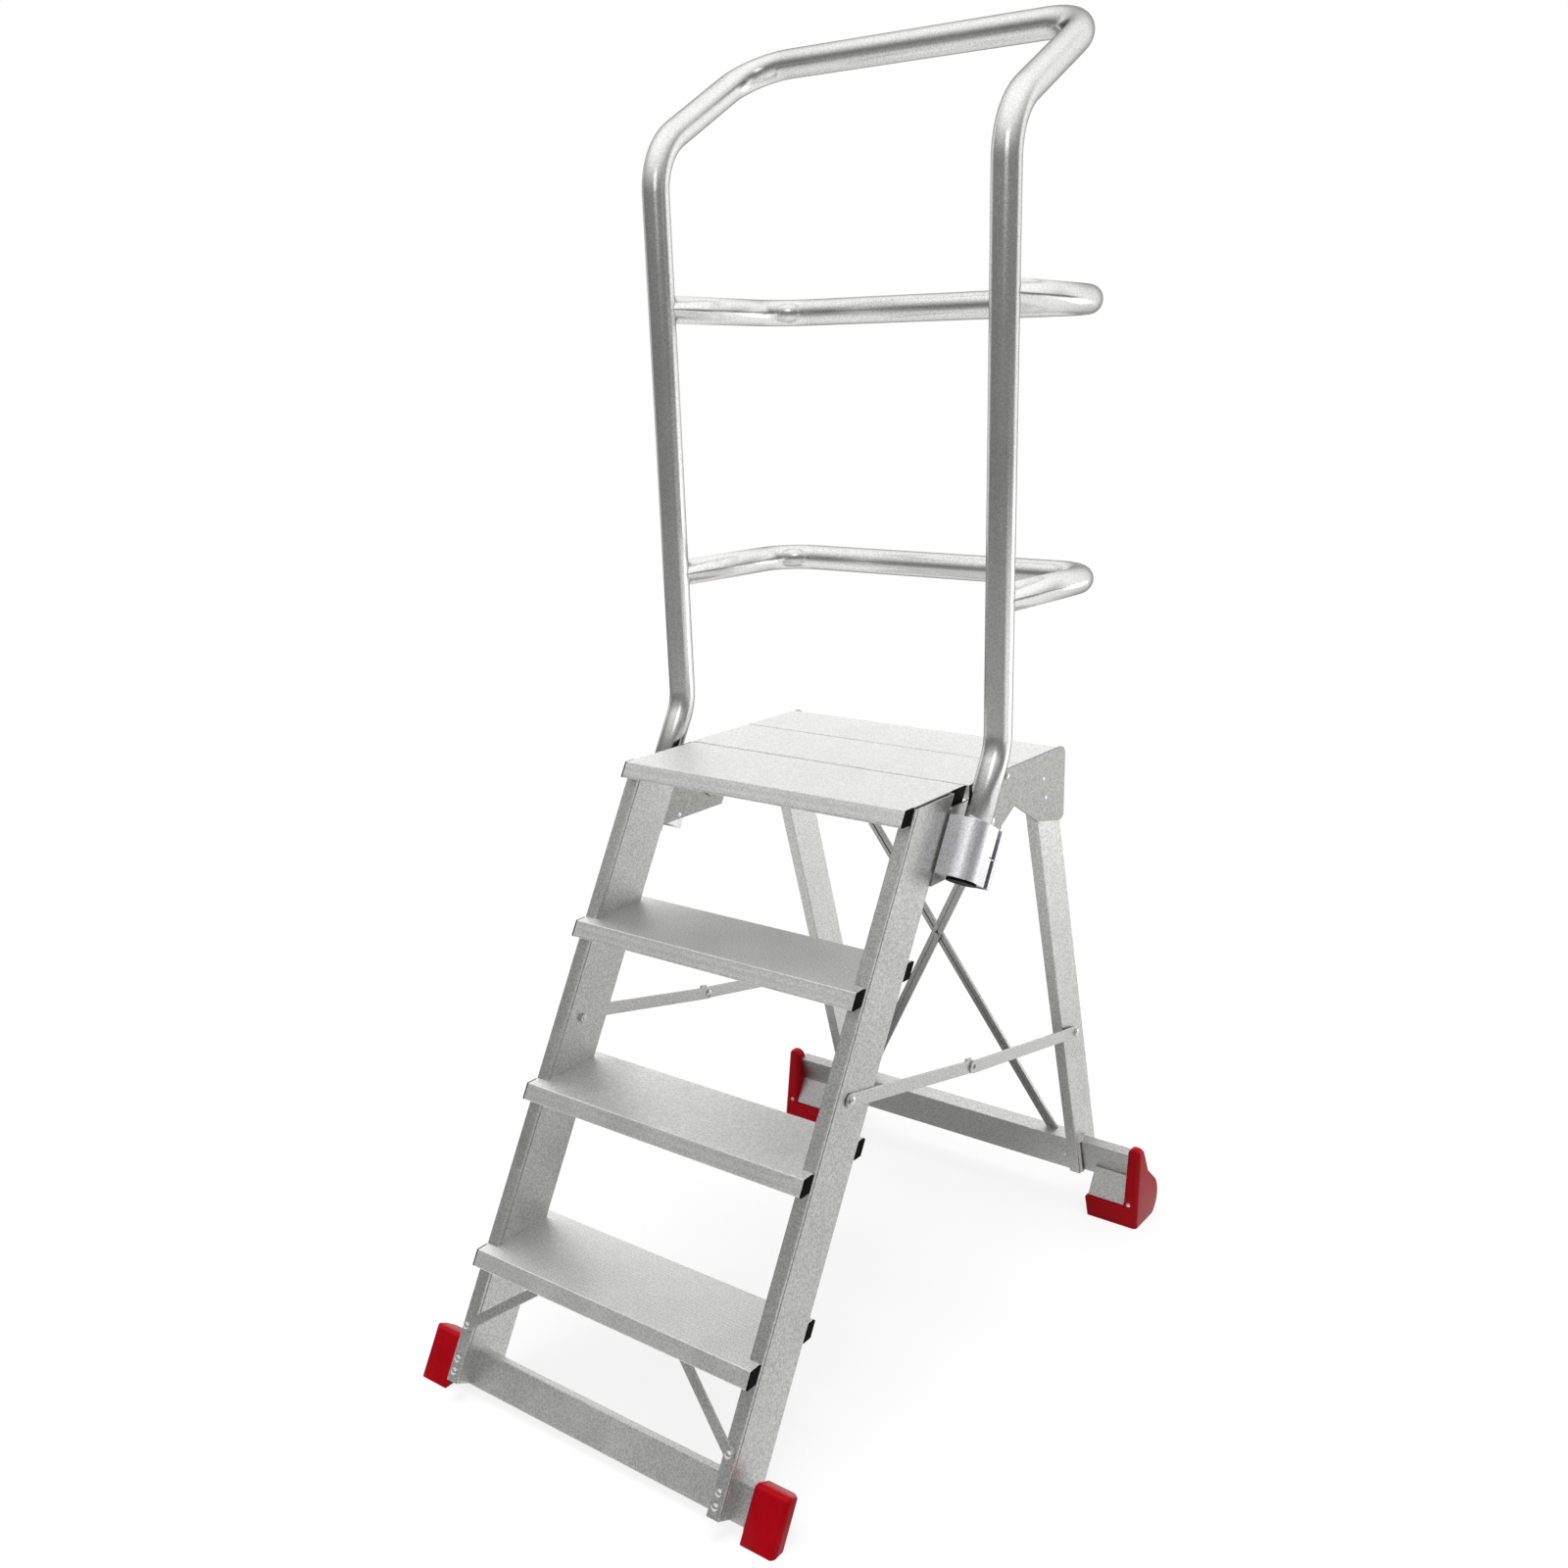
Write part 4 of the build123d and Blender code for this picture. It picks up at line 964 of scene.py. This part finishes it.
OUTER = (Facing.OUTER_SIDE,)
BOTH_ENDS = (Facing.OUTER_SIDE, Facing.INNER_SIDE)
STILE_FRONT = (Facing.STILE_FRONT,)
CROWNS = (
    CrownGroup("plank_screws", "rear_frame", OUTER),
    CrownGroup("pivot_bolts", "front_frame", OUTER),
    CrownGroup("spreader_front_bolts", "front_frame", BOTH_ENDS),
    CrownGroup("spreader_rear_bolts", "rear_frame", BOTH_ENDS),
    CrownGroup("spreader_middle_rivet_left", "front_link_left", BOTH_ENDS),
    CrownGroup("spreader_middle_rivet_right", "front_link_right", BOTH_ENDS),
    CrownGroup("crossbar_bolts", "front_frame", STILE_FRONT),
    CrownGroup("brace_rivets", "front_frame", STILE_FRONT),
    CrownGroup("stub_bolts", "rear_frame", (Facing.LEG_FRONT,)),
)


@dataclass
class Fasteners:
    """Domed crowns on the plain heads of bolts, screws and rivets."""

    dome: Dome = CROWN
    place_digits: int = 6
    face_depth: float = 1e-5

    def build(self, nodes: dict[str, Piece], metal: Material) -> list[Piece]:
        """Make one piece of crowns for each node and way that they point.

        Args:
            nodes: The solids by name.
            metal: Finish of the crowns.

        Returns:
            The new pieces.
        """
        pieces = []
        rows = [(group, facing) for group in CROWNS for facing in group.facings]
        for group, facing in rows:
            centres, axes, radii = self._heads(nodes[group.node], facing)
            name = f"{group.node}_crowns_{facing.name.lower()}"
            piece = lathe_object(name, self.dome.profile(radii), centres, axes, self.dome.sides)
            piece.data.materials.append(metal)
            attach(piece, group.body)
            pieces.append(piece)
        return pieces

    def _heads(self, solid: Piece, facing: Facing) -> tuple[Array, Array, Array]:
        """Find where each fastener's head ends and how wide it is there.

        Points that share a triangle belong to one fastener, so every point takes the lowest label among its
        triangles until nothing changes. The head's face is what lies furthest along the axis.

        Args:
            solid: The fasteners' node.
            facing: Which way the heads point.

        Returns:
            The middle of each face, its axis and its radius.
        """
        mesh = solid.data
        places = np.empty(len(mesh.vertices) * 3)
        mesh.vertices.foreach_get("co", places)
        corners = np.empty(len(mesh.loops), np.int64)
        mesh.loops.foreach_get("vertex_index", corners)
        places = np.round(places.reshape(-1, 3), self.place_digits)
        points, same = np.unique(places, axis=0, return_inverse=True)
        triangles = same.reshape(-1)[corners].reshape(-1, 3)
        label = np.arange(len(points))
        settled = False
        while not settled:
            lower = label.copy()
            np.minimum.at(lower, triangles.ravel(), np.repeat(label[triangles].min(1), 3))
            settled = bool((lower == label).all())
            label = lower
        found = []
        for mark in np.unique(label):
            one = points[label == mark]
            axis = self._axis(facing, math.copysign(1.0, one[:, 0].mean()))
            face = one[one @ axis > (one @ axis).max() - self.face_depth]
            middle = (face.min(0) + face.max(0)) / 2
            found.append((middle, axis, np.linalg.norm(face - middle, axis=1).max()))
        middles, axes, radii = zip(*found)
        return np.array(middles), np.array(axes), np.array(radii)

    @staticmethod
    def _axis(facing: Facing, side: float) -> Array:
        """Direction in which a head points.

        Args:
            facing: Which way it points.
            side: +1 on the right of the ladder and -1 on the left.

        Returns:
            The unit direction.
        """
        front, rear = SIZES.front_lean, SIZES.rear_lean
        directions = {
            Facing.OUTER_SIDE: (side, 0.0, 0.0),
            Facing.INNER_SIDE: (-side, 0.0, 0.0),
            Facing.STILE_FRONT: (0.0, -math.cos(front), math.sin(front)),
            Facing.LEG_FRONT: (0.0, -math.cos(rear), -math.sin(rear)),
        }
        return np.array(directions[facing])


@dataclass
class Feet:
    """Red mouldings with rounded edges, and the pin that holds each rear one."""

    round_edge: float = 0.0032
    round_steps: int = 4
    sharp_turn: float = math.radians(24)
    flat_turn: float = math.radians(0.5)
    seam: float = 1e-5
    pin_x: float = 0.4036
    pin_height: float = 0.045
    pin_radius: float = 0.0042
    front_slope: float = 0.016 / 0.158

    def build(self, nodes: dict[str, Piece], plastic: Material, metal: Material) -> list[Piece]:
        """Make the four mouldings and two pins.

        Args:
            nodes: The solids by name.
            plastic: Finish of the mouldings.
            metal: Finish of the pins.

        Returns:
            The new pieces.
        """
        pieces = []
        for end in ("front", "rear"):
            for side in ("left", "right"):
                node = f"{end}_foot_{side}"
                pieces.append(self._moulding(nodes[node], node, f"{end}_frame", plastic))
        pieces.append(self._pins(metal))
        return pieces

    def _moulding(self, solid: Piece, node: str, body: str, plastic: Material) -> Piece:
        """Join a foot's triangles into whole faces and round its edges.

        Args:
            solid: The foot's solid.
            node: Its name.
            body: What it rides on.
            plastic: Its finish.

        Returns:
            The piece that stands for it.
        """
        mesh = solid.data.copy()
        work = bmesh.new()
        work.from_mesh(mesh)
        bmesh.ops.remove_doubles(work, verts=work.verts, dist=self.seam)
        bmesh.ops.dissolve_limit(work, angle_limit=self.flat_turn, verts=work.verts, edges=work.edges)
        work.to_mesh(mesh)
        work.free()
        piece = smooth_object(node + "_moulding", mesh)
        rounding = piece.modifiers.new("rounding", "BEVEL")
        rounding.width = self.round_edge
        rounding.segments = self.round_steps
        rounding.limit_method = "ANGLE"
        rounding.angle_limit = self.sharp_turn
        rounding.harden_normals = True
        mesh.materials.clear()
        mesh.materials.append(plastic)
        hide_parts(node)
        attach(piece, body)
        return piece

    def _pins(self, metal: Material) -> Piece:
        """Set a small domed pin on the front face of each rear foot, square to that leaning face.

        Args:
            metal: Finish of the pins.

        Returns:
            Both pins as one piece.
        """
        lean = math.atan(self.front_slope)
        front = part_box("rear_foot_right")[0].y + self.front_slope * self.pin_height
        centres = np.array([[side * self.pin_x, front, self.pin_height] for side in (1, -1)])
        axes = np.tile([0.0, -math.cos(lean), math.sin(lean)], (2, 1))
        profile = PIN_HEAD.profile(np.full(2, self.pin_radius))
        piece = lathe_object("rear_foot_pins", profile, centres, axes, PIN_HEAD.sides)
        piece.data.materials.append(metal)
        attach(piece, "rear_frame")
        return piece


# Finish of each family of solids, by the starts of their names
DRESS: dict[tuple[str, ...], Finish] = {
    ("front_foot", "rear_foot_left", "rear_foot_right"): FOOT_PLASTIC,
    ("nose_caps", "tread_rear_caps", "plank_caps", "sleeve_stops"): PLUG_PLASTIC,
    ("front_stile",): STILE_METAL,
    ("rear_leg",): LEG_METAL,
    ("front_crossbar",): FRONT_BAR_METAL,
    ("rear_crossbar",): REAR_BAR_METAL,
    ("rear_stub",): STUB_METAL,
    ("tread_1", "tread_2", "tread_3"): TREAD_METAL,
    ("front_plank", "middle_plank", "rear_plank"): PLATFORM_METAL,
    ("gusset", "rear_side_plate"): PLATE_METAL,
    ("rear_foot_bracket",): BRACKET_METAL,
    ("guardrail_sleeve",): SLEEVE_METAL,
    ("tread_brace", "spreader_front_link", "spreader_rear_link"): LINK_METAL,
    ("x_brace",): BRACE_METAL,
}


class Wardrobe:
    """Builds each finish once and gives the solids theirs."""

    def __init__(self) -> None:
        """Prepare the shared effects."""
        self.effects = SurfaceEffects()
        self.made: dict[str, Material] = {}

    def material(self, finish: Finish) -> Material:
        """The material of a finish, built at its first use.

        Args:
            finish: The finish.

        Returns:
            Its material.
        """
        if finish.name not in self.made:
            self.made[finish.name] = finish.build(self.effects)
        return self.made[finish.name]

    def dress(self, nodes: dict[str, Piece]) -> None:
        """Give every solid its finish; what no family names takes the fasteners' zinc.

        Args:
            nodes: The solids by name.
        """
        for name, solid in nodes.items():
            fitting = (finish for starts, finish in DRESS.items() if name.startswith(starts))
            solid.data.materials.clear()
            solid.data.materials.append(self.material(next(fitting, ZINC_METAL)))


@dataclass(frozen=True)
class Lamp:
    """A square soft lamp that faces a point; its size is in metres and its power in watts."""

    name: str
    place: Triple
    aim: Triple
    size: float
    power: float
    mirrored: bool = True

    def hang(self) -> None:
        """Add the lamp to the scene, and leave it out of mirror images where that is asked."""
        data = bpy.data.lights.new(self.name, "AREA")
        data.size = self.size
        data.energy = self.power
        lamp = bpy.data.objects.new(self.name, data)
        lamp.location = self.place
        lamp.rotation_euler = (Vector(self.aim) - Vector(self.place)).to_track_quat("-Z", "Y").to_euler()
        lamp.visible_glossy = self.mirrored
        bpy.context.scene.collection.objects.link(lamp)


LAMPS = (
    Lamp("overhead", (0.0, -0.2, 4.0), (0.0, 0.0, 0.6), size=3.0, power=90.0, mirrored=False),
    Lamp("right_side", (2.0, 2.4, 0.6), (0.2, 0.0, 0.4), size=1.1, power=7.0),
    Lamp("front_fill", (2.0, -3.0, 3.2), (0.0, 0.0, 0.6), size=1.6, power=7.0),
)


@dataclass
class Studio:
    """White sweep, soft lamps and the camera of the photograph."""

    eye: Triple = (1.4326, -1.7550, 1.5576)
    azimuth: float = math.radians(34.98)
    elevation: float = math.radians(18.70)
    roll: float = math.radians(-0.83)
    lens: float = 34.23
    sensor: float = 36.0
    shift: Span = (-0.0519, 0.0608)
    floor_half: float = 12.0
    floor_drop: float = 0.0004
    floor_white: float = 0.78
    floor_colour: float = 0.50
    floor_seen: float = 0.95
    floor_fade: Span = (1.0, 2.6)
    # Painted light and shade on the floor that only metal sees: falloff in front, a lit side, a painted
    # shadow under the ladder
    floor_fall: Span = (0.9, 4.6)
    floor_front: Span = (0.97, 0.30)
    lit_side: Triple = (0.35, 0.94, 0.0)
    lit_span: Span = (0.6, 1.8)
    shade_middle: Triple = (-0.14, 0.26, 0.0)
    shade_reach: Triple = (0.62, 0.50, 1.0)
    shade_span: Span = (0.5, 1.1)
    shade_level: float = 0.34
    room_rise: Span = (0.07, 0.95)
    room_low: float = 0.20
    room_high: float = 1.15
    bright_side: Triple = (-0.35, 0.94, 0.0)
    back_span: Span = (0.0, 0.55)
    room_back: float = 1.12

    def build(self) -> None:
        """Set up floor, world, lamps and camera."""
        self._floor()
        self._world()
        for lamp in LAMPS:
            lamp.hang()
        self._camera()

    def _camera(self) -> None:
        """Place the camera: it looks along (-sin a cos e, cos a cos e, -sin e) and is turned by the roll."""
        a, e, r = self.azimuth, self.elevation, self.roll
        ahead = Vector((-math.sin(a) * math.cos(e), math.cos(a) * math.cos(e), -math.sin(e)))
        right = Vector((math.cos(a), math.sin(a), 0.0))
        up = right.cross(ahead)
        across = math.cos(r) * right + math.sin(r) * up
        upward = -math.sin(r) * right + math.cos(r) * up
        data = bpy.data.cameras.new("photo_camera")
        data.lens = self.lens
        data.sensor_width = self.sensor
        data.shift_x, data.shift_y = self.shift
        camera = bpy.data.objects.new("photo_camera", data)
        turn = Matrix((across, upward, -ahead)).transposed().to_4x4()
        eye = Vector(self.eye) + Vector((0.0, SIZES.nose_y, 0.0))
        camera.matrix_world = Matrix.Translation(eye) @ turn
        bpy.context.scene.collection.objects.link(camera)
        bpy.context.scene.camera = camera

    def _floor(self) -> None:
        """Lay a pale floor: near white with a faint shadow to the camera, painted light and shade to metal.
        """
        span = np.linspace(-self.floor_half, self.floor_half, 3)
        x, y = np.meshgrid(span, span, indexing="ij")
        grid = np.stack([x, y, np.full_like(x, -self.floor_drop)], -1)
        floor = surface_object("floor", grid, (False, False))
        material = bpy.data.materials.new("floor_white")
        material.use_nodes = True
        tree = material.node_tree
        tree.nodes.clear()
        out = tree.nodes.new("ShaderNodeOutputMaterial")
        matt = tree.nodes.new("ShaderNodeBsdfDiffuse")
        glow = tree.nodes.new("ShaderNodeEmission")
        rays = tree.nodes.new("ShaderNodeLightPath")
        tones = (self.floor_colour, self.floor_seen)
        paler = ramp_node(tree, rays.outputs["Is Camera Ray"], (0.0, 1.0), tones)
        tree.links.new(paler, matt.inputs["Color"])
        # Metal mirrors the floor as pure glow at the painted level below, not as real shading
        gloss = rays.outputs["Is Glossy Ray"]
        less = math_node(tree, "SUBTRACT", self._painted_floor_light(tree), 1.0)
        tree.links.new(math_node(tree, "MULTIPLY_ADD", gloss, less, 1.0), glow.inputs["Strength"])
        white = ramp_node(tree, self._reach(tree), self.floor_fade, (self.floor_white, 1.0), smooth=True)
        share = math_node(tree, "MULTIPLY_ADD", self._seen(tree, rays), white, gloss)
        mix = tree.nodes.new("ShaderNodeMixShader")
        for socket, source in zip(mix.inputs, (share, matt.outputs[0], glow.outputs[0])):
            tree.links.new(source, socket)
        tree.links.new(mix.outputs[0], out.inputs[0])
        floor.data.materials.append(material)

    @staticmethod
    def _seen(tree: Tree, rays: Node) -> Socket:
        """1 for what the camera sees, straight or through glass."""
        return math_node(tree, "MAXIMUM", rays.outputs["Is Camera Ray"], rays.outputs["Is Transmission Ray"])

    def _painted_floor_light(self, tree: Tree) -> Socket:
        """Painted light and shade on the floor as metal mirrors it: dim far in front, white towards the lit
        side, with a painted shadow under the ladder.

        Args:
            tree: The floor's node tree.

        Returns:
            The level, from 0 to 1.
        """
        fall = ramp_node(tree, self._reach(tree), self.floor_fall, self.floor_front)
        place = tree.nodes.new("ShaderNodeTexCoord").outputs["Object"]
        side = dot_node(tree, place, self.lit_side)
        lit = ramp_node(tree, side, self.lit_span, (0.0, 1.0), smooth=True)
        level = math_node(tree, "MULTIPLY_ADD", math_node(tree, "SUBTRACT", 1.0, fall), lit, fall)
        # Painted shadow of the ladder on the floor, seen only in metal
        under = self._reach(tree, self.shade_middle, self.shade_reach)
        shade = ramp_node(tree, under, self.shade_span, (self.shade_level, 1.0), smooth=True)
        return math_node(tree, "MULTIPLY", level, shade)

    @staticmethod
    def _reach(tree: Tree, middle: Triple = (0.0, 0.0, 0.0), radii: Triple = (1.0, 1.0, 1.0)) -> Socket:
        """Distance on the floor from a point, in shares of the given radii.

        Args:
            tree: The floor's node tree.
            middle: The point.
            radii: Distance along each axis that counts as 1.

        Returns:
            The distance.
        """
        shift = tree.nodes.new("ShaderNodeMapping")
        shift.vector_type = "TEXTURE"
        shift.inputs["Location"].default_value = middle
        shift.inputs["Scale"].default_value = radii
        tree.links.new(tree.nodes.new("ShaderNodeTexCoord").outputs["Object"], shift.inputs["Vector"])
        return step_node(tree, "ShaderNodeVectorMath", "LENGTH", shift.outputs[0]).outputs["Value"]

    def _world(self) -> None:
        """White backdrop behind the ladder and overhead, with a dim room on the camera's side."""
        world = bpy.data.worlds.new("studio")
        world.use_nodes = True
        bpy.context.scene.world = world
        tree = world.node_tree
        tree.nodes.clear()
        out = tree.nodes.new("ShaderNodeOutputWorld")
        sky = tree.nodes.new("ShaderNodeBackground")
        rays = tree.nodes.new("ShaderNodeLightPath")
        view = tree.nodes.new("ShaderNodeTexCoord").outputs["Generated"]
        up = dot_node(tree, view, (0.0, 0.0, 1.0))
        rise = ramp_node(tree, up, self.room_rise, (self.room_low, self.room_high), smooth=True)
        back = dot_node(tree, view, self.bright_side)
        behind = ramp_node(tree, back, self.back_span, (0.0, self.room_back), smooth=True)
        glossy = math_node(tree, "MULTIPLY", rays.outputs["Is Glossy Ray"], behind)
        seen = math_node(tree, "MAXIMUM", self._seen(tree, rays), glossy)
        sky.inputs["Color"].default_value = (1.0, 1.0, 1.0, 1.0)
        tree.links.new(math_node(tree, "MAXIMUM", rise, seen), sky.inputs["Strength"])
        tree.links.new(sky.outputs[0], out.inputs[0])


def main() -> None:
    """Load the solids, dress them, add the finer pieces, and set the stage."""
    logging.basicConfig(level=logging.INFO, format="%(message)s")
    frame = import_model()
    nodes = frame["nodes"]
    wardrobe = Wardrobe()
    wardrobe.dress(nodes)
    zinc = wardrobe.material(ZINC_METAL)
    pieces = Guardrail().build(wardrobe.material(TUBE_METAL), wardrobe.material(WELD_METAL))
    pieces += Fasteners().build(nodes, zinc)
    pieces += Feet().build(nodes, wardrobe.material(FOOT_PLASTIC), zinc)
    for piece in pieces:
        LOG.info("made %s", piece.name)
    Studio().build()
    bpy.context.scene.view_settings.view_transform = "Standard"


if __name__ == "__main__":
    main()
